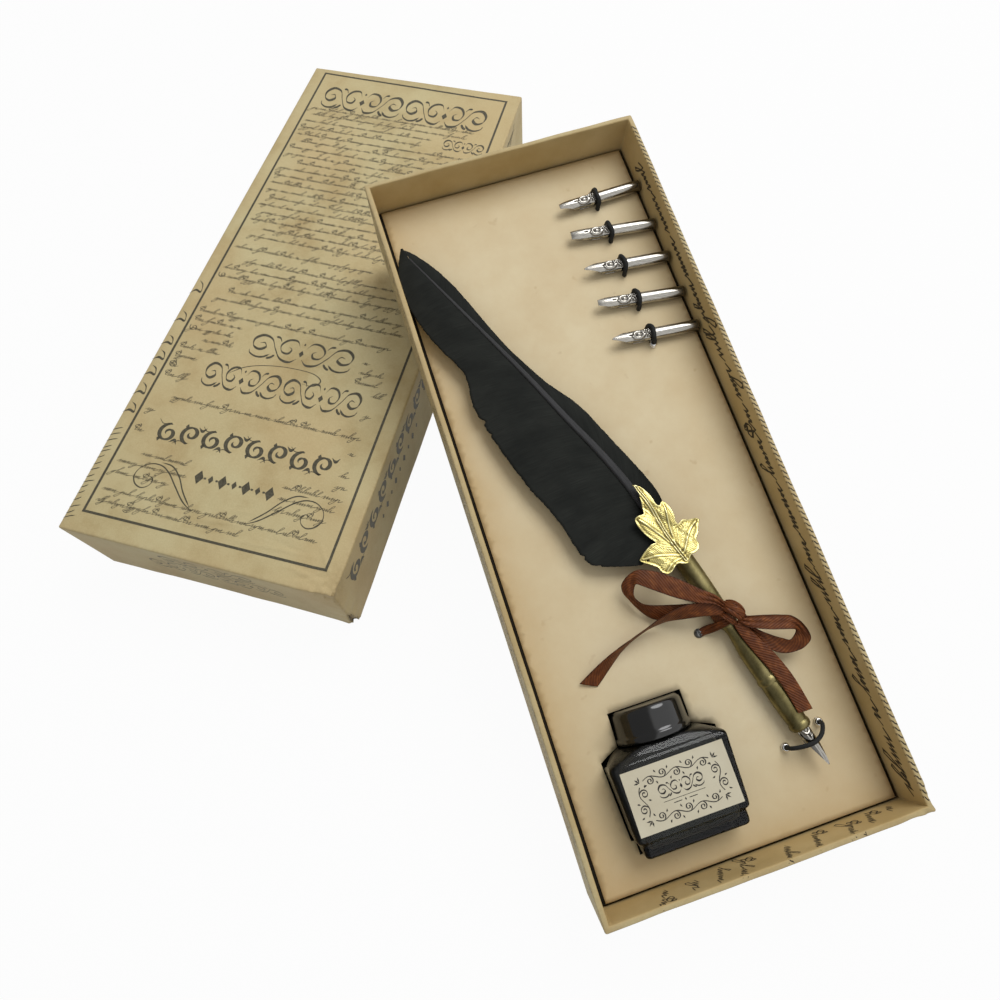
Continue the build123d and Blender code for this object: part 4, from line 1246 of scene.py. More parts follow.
def gold_paint():
    """Pale gold plate, with painted highlight on its raised lines and painted shade, darker olive, in its hollows."""
    paint = Paint("gold", rgb(206, 190, 112), 0.34, metallic=1.0)
    local = paint.vector()
    height = paint.axis(paint.vector("along"), "X")
    cloud = paint.noise(local, 0.35, 3)
    fine = paint.noise(local, 5.0, 4, 0.7)
    # Painted highlight and shade: the tone follows the relief's height, dark in the hollows and bright on the raised
    # lines.
    tone = paint.ramp(height, (0.24, rgb(118, 104, 56)), (0.42, rgb(190, 175, 108)), (0.56, rgb(218, 206, 138)),
                      (0.80, rgb(242, 235, 186)))
    tone = paint.mix(paint.ramp(cloud, (0.35, 0.0), (0.7, 0.35)), tone, rgb(180, 164, 96))
    tone = paint.mix(paint.ramp(fine, (0.55, 0.0), (0.72, 0.3)), tone, rgb(146, 130, 72))
    paint.set("Base Color", tone)
    paint.set("Roughness", paint.ramp(fine, (0.3, 0.26), (0.7, 0.42)))
    paint.bump(fine, 0.15, 0.06)
    return paint


make_leaf()


# ---- Nibs -------------------------------------------------------------------------------
# Turn of each nib in its loop, and the width and taper of its tip
NIB_ANGLES = (1.5, -7.2, -6.0, -7.7, -6.0)
NIB_TIPS = ((1.8, 6.5), (3.4, 5.5), (0.5, 7.5), (2.2, 6.0), (0.4, 7.0))
ELASTIC_X = 37.0            # of the loops, from the tray's middle
ELASTIC_FAR = 273.5         # of the farthest loop, from the tray's near end
NIB_PITCH = 17.45
nib_radius = 2.35
nib_level = 2.5             # of a nib's axis above the card


def nib_paint():
    """Bright pressed steel, with painted shade where the pressing is deep and in its slit, vent and open side, and a
    darker end to its shank.
    """
    paint = Paint("nib_steel", rgb(176, 173, 166), 0.2, metallic=1.0)
    along = paint.vector("along")
    local = paint.vector()
    lines = paint.noise(paint.stretch(local, (0.3, 5, 5)), 1.0, 4)
    tone = paint.ramp(lines, (0.3, rgb(140, 136, 128)), (0.7, rgb(190, 187, 180)))
    # along Y: the shank's own darker end, and painted shade in the deep pressing.
    tone = paint.mix(paint.axis(along, "Y"), tone, rgb(74, 68, 58))
    # along Z: near black painted shade in the slit, the vent and the open side.
    paint.set("Base Color", paint.mix(paint.axis(along, "Z"), tone, rgb(38, 34, 28)))
    paint.set("Roughness", paint.ramp(lines, (0.35, 0.10), (0.65, 0.17)))
    paint.bump(lines, 0.04, 0.02)
    return paint


def pressed(x, s):
    """Relief pressed into a nib.  x is along it from the elastic, s round it from its top."""
    flat = np.column_stack([x.ravel(), s.ravel()])
    rise = np.zeros(len(flat))
    eye = np.hypot((flat[:, 0] + 6.0) / 2.1, (flat[:, 1] + 0.1) / 1.4)
    rise += 0.30 * np.exp(-((eye - 0.94) / 0.15) ** 2) + 0.30 * np.exp(-(eye / 0.36) ** 2)
    rise -= 0.22 * np.exp(-((eye - 0.62) / 0.14) ** 2) + 0.16 * np.exp(-((eye - 1.24) / 0.14) ** 2)
    runs = (
        (((-8.6, -0.6), (-7.6, -1.5), (-5.8, -1.9), (-4.2, -1.3), (-3.2, -0.2), (-2.4, 0.9)), 0.26),
        (((-4.4, 0.9), (-3.4, 0.7), (-2.6, -0.3), (-1.8, -1.1)), 0.24),
        (((-3.3, 1.3), (-2.7, 1.6), (-2.3, 1.2), (-2.7, 0.8)), 0.18),
        (((-1.9, 0.2), (-1.3, 0.6), (-0.9, 0.2), (-1.3, -0.2)), 0.18),
        (((-2.2, -1.5), (-1.5, -1.2), (-1.1, -1.6)), 0.18),
        (((-1.6, 1.5), (-1.0, 1.2), (-0.6, 1.6)), 0.18),
    )
    for run, width in runs:
        away = near_run(flat, spline(run, 14))[0]
        rise += 0.28 * np.exp(-(away / width) ** 2) - 0.13 * np.exp(-((away - 2 * width) / width) ** 2)
    return rise.reshape(x.shape)


def nib_surface(radius, tip, shank_end, taper, tip_width, lower_end, window, start_press):
    """Upper and lower leaf of a nib, with the places of its painted shade.  x runs from the tip to the shank's end,
    window is the open side behind the lower leaf's front, and start_press moves the pressing."""
    us = np.concatenate([np.linspace(tip, tip + taper, 46)[:-1], np.linspace(tip + taper, 1.5, 84)[:-1],
                         np.linspace(1.5, shank_end, 22)])
    vs = np.linspace(-1, 1, 61)
    x, v = np.meshgrid(us, vs, indexing="ij")
    share = np.clip((x - tip) / taper, 0, 1)
    half = tip_width / 2 + (radius - tip_width / 2) * (share ** 0.8 * 0.45 + share * 0.55)
    reach = np.arcsin(np.clip(half / radius, 0, 1))
    angle = v * reach
    rise = pressed(x - start_press, angle * radius) * np.clip((x - tip - taper * 0.6) / 1.5, 0, 1)
    slit = np.exp(-(angle * radius / 0.09) ** 2) * np.clip((tip + taper + 0.8 - x) / 0.4, 0, 1)
    vent = np.clip(1.4 - np.hypot((x - tip - taper - 1.0) / 1.0, angle * radius / 0.42), 0, 1)
    side = np.clip((np.abs(angle) * radius - 1.6) / 0.5, 0, 1) * (x > lower_end) * (x < lower_end + window)
    lift = rise - 0.12 * slit - 0.25 * vent
    ring = radius + lift
    bend = -0.55 * (1 - share) ** 2
    upper = np.stack([x, ring * np.sin(angle), ring * np.cos(angle) + bend], axis=-1).reshape(-1, 3)
    # Painted shade in the slit and the vent, and less on the open side.
    dark = np.clip(slit + vent + 0.4 * side, 0, 1)
    low_us = np.concatenate([np.linspace(lower_end, lower_end + window, 12), us[us > lower_end + window]])
    w = np.linspace(0, 1, 41)
    lx, lw = np.meshgrid(low_us, w, indexing="ij")
    gap = 0.24 * np.clip((lower_end + window - lx) / 0.6, 0, 1)
    la = math.pi / 2 + gap + lw * (math.pi - 2 * gap)
    lower = np.stack([lx, radius * np.sin(la), radius * np.cos(la)], axis=-1).reshape(-1, 3)
    points, faces = joined((upper, grid_faces(len(us), len(vs))), (lower, grid_faces(len(low_us), len(w))))
    along = np.zeros((len(points), 3))
    along[:, 1] = 0.62 * np.clip((points[:, 0] - shank_end + 7.5) / 6.0, 0, 1)
    # Painted shade where the pressing is deep.
    along[:len(upper), 1] = np.maximum(along[:len(upper), 1], np.clip(-7.0 * rise, 0, 1).ravel())
    along[:len(upper), 2] = dark.ravel()
    return points, faces, along


nib_plate = 0.28            # thickness of a nib's steel


def make_spare_nib(i):
    """One of the five spare nibs under their elastic loops."""
    tip_width, taper = NIB_TIPS[i]
    points, faces, along = nib_surface(nib_radius, tip=-17.4, shank_end=20.6, taper=taper, tip_width=tip_width,
                                       lower_end=-8.7, window=5.2, start_press=0.0)
    place = (TRAY @ Matrix.Translation((ELASTIC_X, ELASTIC_FAR - NIB_PITCH * i, card_top + nib_level))
             @ Matrix.Rotation(math.radians(NIB_ANGLES[i]), 4, "Z"))
    thing = piece(f"steel_nib_{i + 1}", points, faces, place, f"nib_{i + 1}", NIB.material,
                  [f"spare_nib_{i + 1}"], along=along)
    merge(thing, 0.01)
    thicken(thing, nib_plate, 1.0)


def make_pen_nib():
    """The nib in the pen's collet."""
    points, faces, along = nib_surface(2.2, tip=-14.7, shank_end=9.0, taper=10.5, tip_width=0.35,
                                       lower_end=-6.5, window=3.0, start_press=6.0)
    place = PEN @ Matrix.Rotation(math.radians(90), 4, "Z")
    thing = piece("steel_pen_nib", points, faces, place, "pen_point", NIB.material, ["pen_nib"],
                  along=along)
    merge(thing, 0.01)
    thicken(thing, nib_plate, 1.0)


NIB = nib_paint()
nib_count = len(NIB_ANGLES)
for i in range(nib_count):
    make_spare_nib(i)
make_pen_nib()

# ---- Elastics and their metal ends --------------------------------------------------------
loop_radius = 3.65
elastic_radius = 1.0
PEN_ELASTIC = (
    (-8.3, -3.2, -12.4), (-8.3, -3.2, -2.6), (-7.6, -3.6, 0.3), (-4.4, -4.6, 2.6), (-0.3, -5.4, 3.5),
    (3.8, -4.7, 2.9), (7.0, -3.0, 0.6), (7.9, -2.7, -2.2), (7.9, -2.7, -12.4),
)


def elastic_paint():
    """Black braided rubber cord."""
    paint = Paint("black_elastic", rgb(26, 27, 27), 0.66, specular_ior_level=0.3)
    local = paint.vector("along")
    knit = paint.node("ShaderNodeTexWave", {"Vector": paint.stretch(local, (1, 1, 1), (0, 0, 0.6)),
                                            "Scale": 1.1, "Distortion": 1.0, "Detail": 2.0})
    paint.set("Base Color", paint.ramp(knit.outputs["Fac"], (0.2, rgb(18, 19, 19)), (0.8, rgb(38, 39, 38))))
    paint.bump(knit.outputs["Fac"], 0.5, 0.12)
    return paint


def nickel_paint():
    """Bright plate with a fine uneven gloss."""
    paint = Paint("bright_nickel", rgb(226, 224, 220), 0.14, metallic=1.0)
    fine = paint.noise(paint.space(), 1400, 3)
    paint.set("Roughness", paint.ramp(fine, (0.3, 0.10), (0.7, 0.2)))
    return paint


ELASTIC = elastic_paint()
NICKEL = nickel_paint()


def elastic(name, node, route, place, radius=elastic_radius):
    """A round elastic along a route, with the slight ripple of its braid."""
    path = even(spline(route, 200), 120)
    share = np.linspace(0, 1, len(path))
    radii = radius * (1 + 0.02 * np.sin(share * 240))
    sides = 18
    points, faces = tube(path, radii, sides)
    run = share * np.linalg.norm(np.diff(path, axis=0), axis=1).sum()
    turn = circle(sides)
    cloth = level(np.repeat(run, sides), np.tile(turn, len(path)))
    piece(name, points, faces, place, "insert", ELASTIC.material, [node], along=cloth)


def nib_elastic_route(i):
    """Out of the card, over the nib and back, in the loop's own frame."""
    turn = np.radians(np.linspace(0, 180, 9))
    arch = [(0.25 * math.sin(3 * a + i), loop_radius * math.cos(a), nib_level + loop_radius * math.sin(a))
            for a in turn]
    foot = loop_radius + 0.12
    return [(0, foot, -8.0), (0, foot, -1.0)] + arch + [(0, -foot, -1.0), (0, -foot, -8.0)]


def make_ferrule(name, place):
    """A bright crimped end, ringed by a shallow groove."""
    profile = ((0.85, -0.3), (1.5, -0.25), (1.8, 0.05), (1.86, 0.35), (1.72, 0.6), (1.6, 0.68), (1.72, 0.78),
               (1.68, 1.1), (1.4, 1.5), (1.05, 1.7), (0.85, 1.6))
    turned = spline(profile, 34)
    points, faces = lathe(turned, 40)
    points = points[:, [0, 2, 1]]
    return piece(name, points, faces, place, "insert", NICKEL.material, ())


ferrule_places = []
for i in range(nib_count):
    middle = TRAY @ Matrix.Translation((ELASTIC_X, ELASTIC_FAR - NIB_PITCH * i, card_top))
    elastic(f"loop_{i + 1}", f"nib_elastic_{i + 1}", nib_elastic_route(i), middle)
    for end, side in ((0, 1), (nib_count - 1, -1)):
        if i == end:
            ferrule_places.append(middle @ Matrix.Translation((0, side * loop_radius, 0)))
elastic("loop_pen", "pen_elastic", PEN_ELASTIC, PEN, radius=0.8)
for x, y, _ in (PEN_ELASTIC[0], PEN_ELASTIC[-1]):
    ferrule_places.append(PEN @ Matrix.Translation((x, y, card_level)))
for i, place in enumerate(ferrule_places):
    ferrule = make_ferrule(f"ferrule_{i + 1}", place)
    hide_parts("elastic_ferrules")


eyelet_place = (-10.6, 47.9)


def make_eyelet():
    """The domed eyelet that pins the ribbon to the card, with a slot across it."""
    profile = ((0.05, 1.05), (0.5, 1.15), (1.0, 1.05), (1.45, 0.75), (1.75, 0.4), (1.9, 0.1), (1.85, 0.0),
               (1.3, -0.1), (1.3, -3.2))
    points, faces = lathe(spline(profile, 60), 48)
    place = PEN @ Matrix.Translation((*eyelet_place, card_level))
    points[:, 1] -= 0.35 * np.exp(-(points[:, 0] / 0.28) ** 2) * (points[:, 1] > 0.3)
    piece("eyelet", points[:, [0, 2, 1]], faces, place, "insert", STEEL.material, ["ribbon_eyelet"])


def steel_paint():
    """Grey pressed steel."""
    paint = Paint("grey_steel", rgb(118, 118, 116), 0.34, metallic=1.0)
    fine = paint.noise(paint.space(), 900, 4)
    paint.set("Base Color", paint.ramp(fine, (0.3, rgb(88, 88, 87)), (0.7, rgb(142, 142, 140))))
    return paint


STEEL = steel_paint()
make_eyelet()
dress("pen_collet", NICKEL)
dress("elastic_crimps", NICKEL)

# ---- Ink bottle --------------------------------------------------------------------------

def loop_at(width, depth, radius, y, per_corner=9, per_side=7):
    """A rounded rectangle across the bottle at height y."""
    radius = min(radius, width / 2 - 1e-3, depth / 2 - 1e-3)
    out = []
    corners = ((1, 1, 0), (-1, 1, 90), (-1, -1, 180), (1, -1, 270))
    for sx, sz, start in corners:
        cx, cz = sx * (width / 2 - radius), sz * (depth / 2 - radius)
        for a in np.radians(np.linspace(start, start + 90, per_corner)):
            out.append((cx + radius * math.cos(a), y, cz + radius * math.sin(a)))
    filled = []
    for k, q in enumerate(out):
        filled.append(q)
        if k % per_corner == per_corner - 1:
            nxt = out[(k + 1) % len(out)]
            for t in np.linspace(0, 1, per_side + 2)[1:-1]:
                filled.append(tuple(np.array(q) + (np.array(nxt) - np.array(q)) * t))
    return filled


# Width, depth, corner radius and height of each loop, from the foot up
GLASS_LOOPS = (
    (33.0, 20.5, 1.2, 0.35), (37.0, 24.5, 1.5, 0.0), (38.6, 26.1, 1.7, 0.45), (39.3, 26.8, 1.9, 1.3),
    (39.4, 26.9, 1.9, 3.2), (39.3, 26.8, 1.9, 4.7), (39.6, 27.1, 1.9, 5.2), (41.2, 28.7, 1.9, 5.6),
    (42.3, 29.7, 1.9, 6.4), (42.6, 30.0, 1.9, 7.4), (43.6, 30.0, 1.9, 18.5), (44.8, 30.0, 1.9, 29.5),
    (45.0, 29.9, 1.9, 30.8), (44.8, 29.5, 1.9, 31.5), (44.1, 28.9, 2.2, 32.2), (42.6, 28.0, 3.0, 32.8),
    (38.2, 26.8, 5.5, 34.2), (32.8, 25.4, 8.0, 35.6), (30.9, 24.8, 9.5, 36.0), (29.0, 24.2, 11.5, 36.3),
    (23.5, 22.8, 11.3, 36.5), (22.6, 22.6, 11.3, 36.9), (22.6, 22.6, 11.3, 45.0),
)
INK_LOOPS = (
    (26.0, 13.0, 2.0, 1.9), (33.2, 20.0, 2.0, 2.3), (34.8, 22.4, 2.0, 3.4), (35.4, 23.4, 2.2, 6.0),
    (35.6, 24.8, 3.0, 9.0), (35.8, 25.4, 3.2, 12.0),
    (36.4, 25.8, 3.4, 20.0), (37.6, 25.8, 3.4, 28.0), (37.4, 25.4, 3.6, 30.0), (35.0, 24.6, 4.5, 31.4),
    (29.0, 22.8, 7.0, 33.4), (25.0, 20.6, 9.5, 34.6), (18.0, 18.0, 9.0, 35.6), (18.0, 18.0, 9.0, 43.0),
)


def make_loft(name, loops, material, node):
    """A closed skin through rounded rectangles up the bottle."""
    rows = [loop_at(*loop) for loop in loops]
    count = len(rows[0])
    points = np.array(rows).reshape(-1, 3)
    faces = grid_faces(len(rows), count, closed=True)
    faces += [tuple(range(count))[::-1], tuple(range(len(points) - count, len(points)))]
    thing = piece(name, points, faces, BOTTLE, "bottle", material, [node])
    merge(thing, 0.001)
    soften(thing)


def glass_paint():
    """Clear glass with a faint green cast and soft ripples."""
    paint = Paint("dark_glass", rgb(206, 212, 198), 0.03, transmission_weight=1.0, ior=1.33)
    ripple = paint.noise(paint.space(), 60, 0)
    paint.bump(ripple, 0.12, 0.25)
    return paint


def ink_fill_paint():
    """Black ink, a little cloudy."""
    paint = Paint("ink", rgb(12, 13, 12), 0.3, specular_ior_level=0.25)
    cloud = paint.noise(paint.space(), 130, 4)
    paint.set("Base Color", paint.ramp(cloud, (0.35, rgb(8, 9, 9)), (0.7, rgb(22, 24, 22))))
    return paint


def cap_paint():
    """Glossy black plastic."""
    paint = Paint("cap_plastic", rgb(20, 20, 19), 0.12, coat_weight=0.3)
    fine = paint.noise(paint.space(), 700, 3)
    paint.set("Roughness", paint.ramp(fine, (0.3, 0.09), (0.7, 0.17)))
    paint.bump(paint.noise(paint.space(), 150, 2), 0.10, 0.2)
    return paint


CAP = cap_paint()
make_loft("bottle_body", GLASS_LOOPS, glass_paint().material, "bottle_glass")
make_loft("ink_fill", INK_LOOPS, ink_fill_paint().material, "bottle_ink")

CAP_PROFILE = (
    (0.0, 47.3), (11.6, 47.3), (11.6, 36.5), (13.2, 36.4), (14.2, 36.5), (14.52, 36.9), (14.55, 38.4),
    (14.42, 38.9), (14.02, 39.2), (14.0, 42.4), (13.92, 46.4), (13.7, 47.5), (13.2, 48.2), (12.4, 48.6),
    (11.9, 48.7), (6.0, 48.72), (0.0, 48.72),
)


def make_cap():
    """The screw cap, open below."""
    dense = [CAP_PROFILE[0]]
    for a, b in zip(CAP_PROFILE, CAP_PROFILE[1:]):
        a, b = np.array(a), np.array(b)
        count = max(1, round(np.linalg.norm(b - a) / 1.2))
        dense += [tuple(a + (b - a) * k / count) for k in range(1, count + 1)]
    points, faces = lathe(dense, 128)
    thing = piece("cap", points, faces, BOTTLE, "cap", CAP.material, ["bottle_cap"])
    merge(thing)


make_cap()
LINER = Paint("liner_board", rgb(196, 190, 176), 0.8)
LINER.bump(LINER.noise(LINER.space(), 900, 4), 0.3, 0.1)
dress("cap_liner", LINER)

# ---- Insert: card and foam ----------------------------------------------------------------

def recess_outline():
    """The cut for the bottle, anticlockwise, in the tray frame."""
    x, y = bottle_place[0], bottle_place[1]
    right = [(20.0, -0.3), (20.0, 4.7), (21.5, 4.9), (22.2, 18.0), (22.85, 33.1), (14.7, 36.4), (14.7, 49.0)]
    return [(x + a, y + b) for a, b in right] + [(x - a, y + b) for a, b in right[::-1]]


# Folds beside the bottle's cap: the ends of each fold line, and how far the card slopes down from it
FLAPS = (((-5.8, 57.3), (4.1, 51.7)), ((-33.9, 61.1), (-44.6, 53.4)))
flap_depth = 2.6
flap_run = 8.0


def flap_drop(flat, spare=0.0):
    """How far the card slopes down beside the bottle's cap.  spare moves the fold outwards."""
    drop = np.zeros(len(flat))
    cap = np.array((bottle_place[0], bottle_place[1] + 34.0))
    for a, b in FLAPS:
        a, b = np.array(a), np.array(b)
        along = (b - a) / np.linalg.norm(b - a)
        inward = np.array((-along[1], along[0]))
        inward = inward * np.sign(inward @ (cap - a))
        away = (flat - a) @ inward + spare
        share = (flat - (a + b) / 2) @ along / (np.linalg.norm(b - a) / 2 + 3 + spare)
        fade = np.clip(1.6 * (1 - np.abs(share)), 0, 1)
        slope = np.clip(away / flap_run, 0, 1) * (np.linalg.norm(flat - (a + b) / 2, axis=1) < 16 + spare)
        drop = np.maximum(drop, flap_depth * slope * fade * fade * (3 - 2 * fade))
    return drop


def card_rise(flat):
    """How far the card's face lies above its plane."""
    x, y = flat.T
    lift = 0.12 * wave(x * 0.07 + 1, 61) * wave(y * 0.035, 62)
    edge = np.minimum(insert_half - np.abs(x), np.minimum(y - insert_near, insert_far - y))
    return lift - 0.10 * np.exp(-edge / 2.5) - flap_drop(flat)


def card_paint():
    """Aged paper print: warm cream in the middle, tan towards its edges, with foxing."""
    paint = Paint("parchment_card", rgb(212, 192, 156), 0.72, specular_ior_level=0.25)
    local = paint.vector()
    wear = paint.vector("along")
    cloud = paint.noise(local, 0.016, 5, 0.62)
    fine = paint.noise(local, 0.11, 5, 0.7)
    tone = paint.ramp(cloud, (0.32, rgb(213, 193, 155)), (0.52, rgb(222, 206, 170)), (0.7, rgb(227, 212, 178)))
    tone = paint.mix(paint.ramp(fine, (0.42, 0.0), (0.7, 0.25)), tone, rgb(208, 184, 142))
    edge = paint.math("MULTIPLY", paint.axis(wear, "X"), paint.ramp(paint.noise(local, 0.035, 5, 0.7),
                                                                    (0.25, 0.45), (0.7, 1.0)))
    tone = paint.mix(edge, tone, rgb(204, 180, 136))
    spots = paint.ramp(paint.noise(local, 0.16, 2, 0.4), (0.72, 0.0), (0.80, 0.30))
    tone = paint.mix(spots, tone, rgb(172, 138, 92))
    paint.set("Base Color", tone)
    grain = paint.noise(local, 2.2, 3, 0.6)
    paint.bump(grain, 0.12, 0.06)
    return paint


def foam_paint():
    """Charcoal foam with small cells."""
    paint = Paint("foam", rgb(48, 46, 42), 0.95, specular_ior_level=0.2)
    cells = paint.node("ShaderNodeTexVoronoi", {"Vector": paint.vector(), "Scale": 0.9})
    tone = paint.ramp(cells.outputs["Distance"], (0.1, rgb(40, 38, 35)), (0.6, rgb(46, 44, 40)))
    paint.set("Base Color", tone)
    paint.bump(cells.outputs["Distance"], 0.05, 0.06)
    return paint


card_left = 1.1             # from the foam's left side to the card's
card_right = 0.5            # and on its right side
CARD = card_paint()
FOAM = foam_paint()
insert_loop = ((-insert_half, insert_near), (insert_half, insert_near), (insert_half, insert_far),
               (-insert_half, insert_far))


def make_card():
    """The printed card on the foam, a little narrower than it."""
    card_loop = [(float(np.clip(x, card_left - insert_half, insert_half - card_right)), y)
                 for x, y in insert_loop]
    outline = divided(card_loop, 2.2)
    hole = divided(recess_outline(), 1.2)
    flat, faces = sheet(outline, [hole], 2.2)
    rise = card_rise(flat)
    edge = np.minimum(insert_half - np.abs(flat[:, 0]), np.minimum(flat[:, 1] - insert_near,
                                                                   insert_far - flat[:, 1]))
    around = to_loop(flat, np.array(recess_outline()))
    wear = np.zeros((len(flat), 3))
    wear[:, 0] = np.clip(0.95 * np.exp(-edge / 6) + 0.45 * np.exp(-edge / 20)
                         + 0.25 * np.exp(-around / 3), 0, 1)
    points = np.column_stack([flat, card_top + rise])
    thing = piece("card", points, faces, TRAY, "insert", CARD.material, ["insert_card"],
                  along=wear)
    thicken(thing, card_thickness, -1.0)


def make_foam(name, node, low, high, cut):
    """A block of foam.  One that is cut has the bottle's recess, and slopes down beside its cap."""
    outline = divided(insert_loop, 4.0)
    holes = [divided(recess_outline(), 2.5)] if cut else []
    flat, faces = sheet(outline, holes, 4.0, 5)
    loops = [outline] + holes
    parts = []
    for z, flip in ((high, False), (low, True)):
        sag = 1.25 * flap_drop(flat, 3.0) if (cut and not flip) else 0
        parts.append((np.column_stack([flat, np.full(len(flat), z) - sag]),
                      [f[::-1] if flip else f for f in faces]))
    for loop in loops:
        steps = np.linspace(0, 1, 5)
        drop = 1.25 * flap_drop(loop, 3.0) if cut else np.zeros(len(loop))
        rows = [np.column_stack([loop, low + (high - drop - low) * s]) for s in steps]
        parts.append((np.vstack(rows), grid_faces(len(steps), len(loop), closed=True)))
    points, faces = joined(*parts)
    thing = piece(name, points, faces, TRAY, "insert", FOAM.material, [node])
    merge(thing, 0.01)


make_card()
make_foam("foam_bed", "foam_base", low=2.15, high=9.0, cut=False)
make_foam("foam_block", "foam_top", low=9.0, high=25.45, cut=True)

# ---- Print on the paper: rows of pen strokes, flourishes and borders, with no letters ------
print_lift = 0.05           # of the print's strips above the paper


def ink_paint(name, colour, rough):
    """Printing ink that covers the paper's grain unevenly."""
    paint = Paint(name, colour, rough, specular_ior_level=0.3)
    local = paint.vector()
    fade = paint.ramp(paint.noise(local, 0.8, 5, 0.7), (0.35, 1.0), (0.7, 0.0))
    pale = tuple(min(1.0, c * 1.9 + 0.02) for c in colour[:3]) + (1.0,)
    paint.set("Base Color", paint.mix(fade, pale, colour))
    paint.bump(paint.noise(local, 2.0, 3), 0.1, 0.05)
    return paint


def stroke(points, thick, hair, nib=38.0, taper=0.0):
    """A line drawn by a broad nib: points and faces of a flat strip."""
    p = np.asarray(points, float)
    along = unit(np.gradient(p, axis=0))
    across = np.column_stack([-along[:, 1], along[:, 0]])
    edge = np.array((math.cos(math.radians(nib)), math.sin(math.radians(nib))))
    width = hair + (thick - hair) * np.abs(along[:, 0] * edge[1] - along[:, 1] * edge[0])
    if taper:
        share = np.linspace(0, 1, len(p))
        width = width * np.clip(np.minimum(share, 1 - share) / taper, 0.15, 1)
    half = across * width[:, None] / 2
    rows = np.stack([p + half, p - half], axis=1).reshape(-1, 2)
    return rows, [(2 * k + 1, 2 * k + 3, 2 * k + 2, 2 * k) for k in range(len(p) - 1)]


def penned_word(rng, count, tall):
    """Control points of a run of slanted strokes, some long above or below, as old pen work has."""
    run, x = [(-0.5 * tall, 0.25 * tall)], 0.0
    if rng.random() < 0.28:
        loop = ((0.9, 1.7), (0.1, 2.1), (-0.7, 1.5), (0.2, 0.9), (1.1, 1.5), (0.8, 2.6), (-0.3, 0.2))
        run = [(a * tall, b * tall) for a, b in loop]
        x = 0.5 * tall
    for _ in range(count):
        kind = rng.random()
        high = tall * rng.uniform(0.85, 1.1)
        low = tall * rng.uniform(-0.05, 0.1)
        step = tall * rng.uniform(0.52, 0.82)
        if kind < 0.13:
            high = tall * rng.uniform(2.0, 2.6)
            run.append((x + 0.80 * high + 0.20 * tall, high * 0.93))
        elif kind < 0.22:
            low = -tall * rng.uniform(1.0, 1.5)
            run.append((x + 0.75 * high, high))
            run.append((x + 0.75 * low - 0.35 * tall, low))
            run.append((x + 0.75 * low - 0.75 * tall, low * 0.7))
            x += step
            continue
        run.append((x + 0.75 * high, high))
        run.append((x + 0.75 * low + 0.25 * step, low))
        x += step
    run.append((x + 0.9 * tall, 0.55 * tall))
    return run, x


row_fineness = 2.1          # points of a stroke for each of its control points


def penned_row(rng, length, tall, weight=1.0):
    """Flat strips of a row of pen work that starts at the origin."""
    parts, x = [], 0.0
    while x < length - 3 * tall:
        count = rng.randint(2, 9)
        run, wide = penned_word(rng, count, tall)
        if x + wide > length:
            break
        smooth = spline(run, round(len(run) * row_fineness))
        smooth[:, 0] += x
        parts.append(stroke(smooth, 0.26 * tall * weight, (0.07 * tall + 0.03) * weight))
        x += wide + rng.uniform(0.9, 1.7) * tall
    return parts


def turned(parts, place, degrees=0.0):
    """Flat strips turned and then moved on their sheet."""
    a = math.radians(degrees)
    turn = np.array(((math.cos(a), math.sin(a)), (-math.sin(a), math.cos(a))))
    return [(np.asarray(p) @ turn + np.array(place), f) for p, f in parts]


def spiral(middle, radius, start, turns, count=40, inner=0.18):
    """A run of points that winds in to the middle.  A negative turns winds clockwise."""
    share = np.linspace(0, 1, count)
    a = np.radians(start) + share * turns * 2 * math.pi
    r = radius * (1 - (1 - inner) * share ** 0.85)
    return np.column_stack([middle[0] + r * np.cos(a), middle[1] + r * np.sin(a)])


# One side of a flourish, in shares of its width and height, and how thick each line is
FLOURISH = (
    (((0.05, 0.22), (0.16, 0.04), (0.34, 0.10), (0.50, 0.46), (0.64, 0.86), (0.82, 0.94), (0.95, 0.72), (0.92, 0.44),
      (0.79, 0.34), (0.69, 0.48), (0.74, 0.64), (0.82, 0.60)), 1.0),
    (((0.06, 0.70), (0.16, 0.95), (0.32, 0.92), (0.42, 0.66), (0.36, 0.40), (0.24, 0.38), (0.20, 0.56), (0.27, 0.66)),
     0.8),
    (((0.56, 0.22), (0.66, 0.06), (0.80, 0.02), (0.94, 0.14), (0.97, 0.28)), 0.7),
    (((0.44, 0.80), (0.50, 0.95), (0.58, 0.98)), 0.9),
    (((0.47, 0.22), (0.52, 0.10), (0.60, 0.02)), 0.8),
)


def flourishes(length, tall, count, thick, hair):
    """A row of mirrored pen flourishes with a lozenge in the middle of each."""
    parts = []
    unit_width = length / count
    for k in range(count):
        middle = unit_width * (k + 0.5)
        for side in (-1, 1):
            for run, weight in FLOURISH:
                points = [(middle + side * x * unit_width * 0.49, y * tall) for x, y in run]
                parts.append(stroke(spline(points, 7 * len(run)), thick * weight, hair,
                                    90.0 - 25.0 * side, 0.12))
        parts.append(diamond((middle, tall * 0.46), min(thick * 1.3, tall * 0.2)))
        parts.append(diamond((middle, tall * 0.86), thick * 0.55))
    return parts


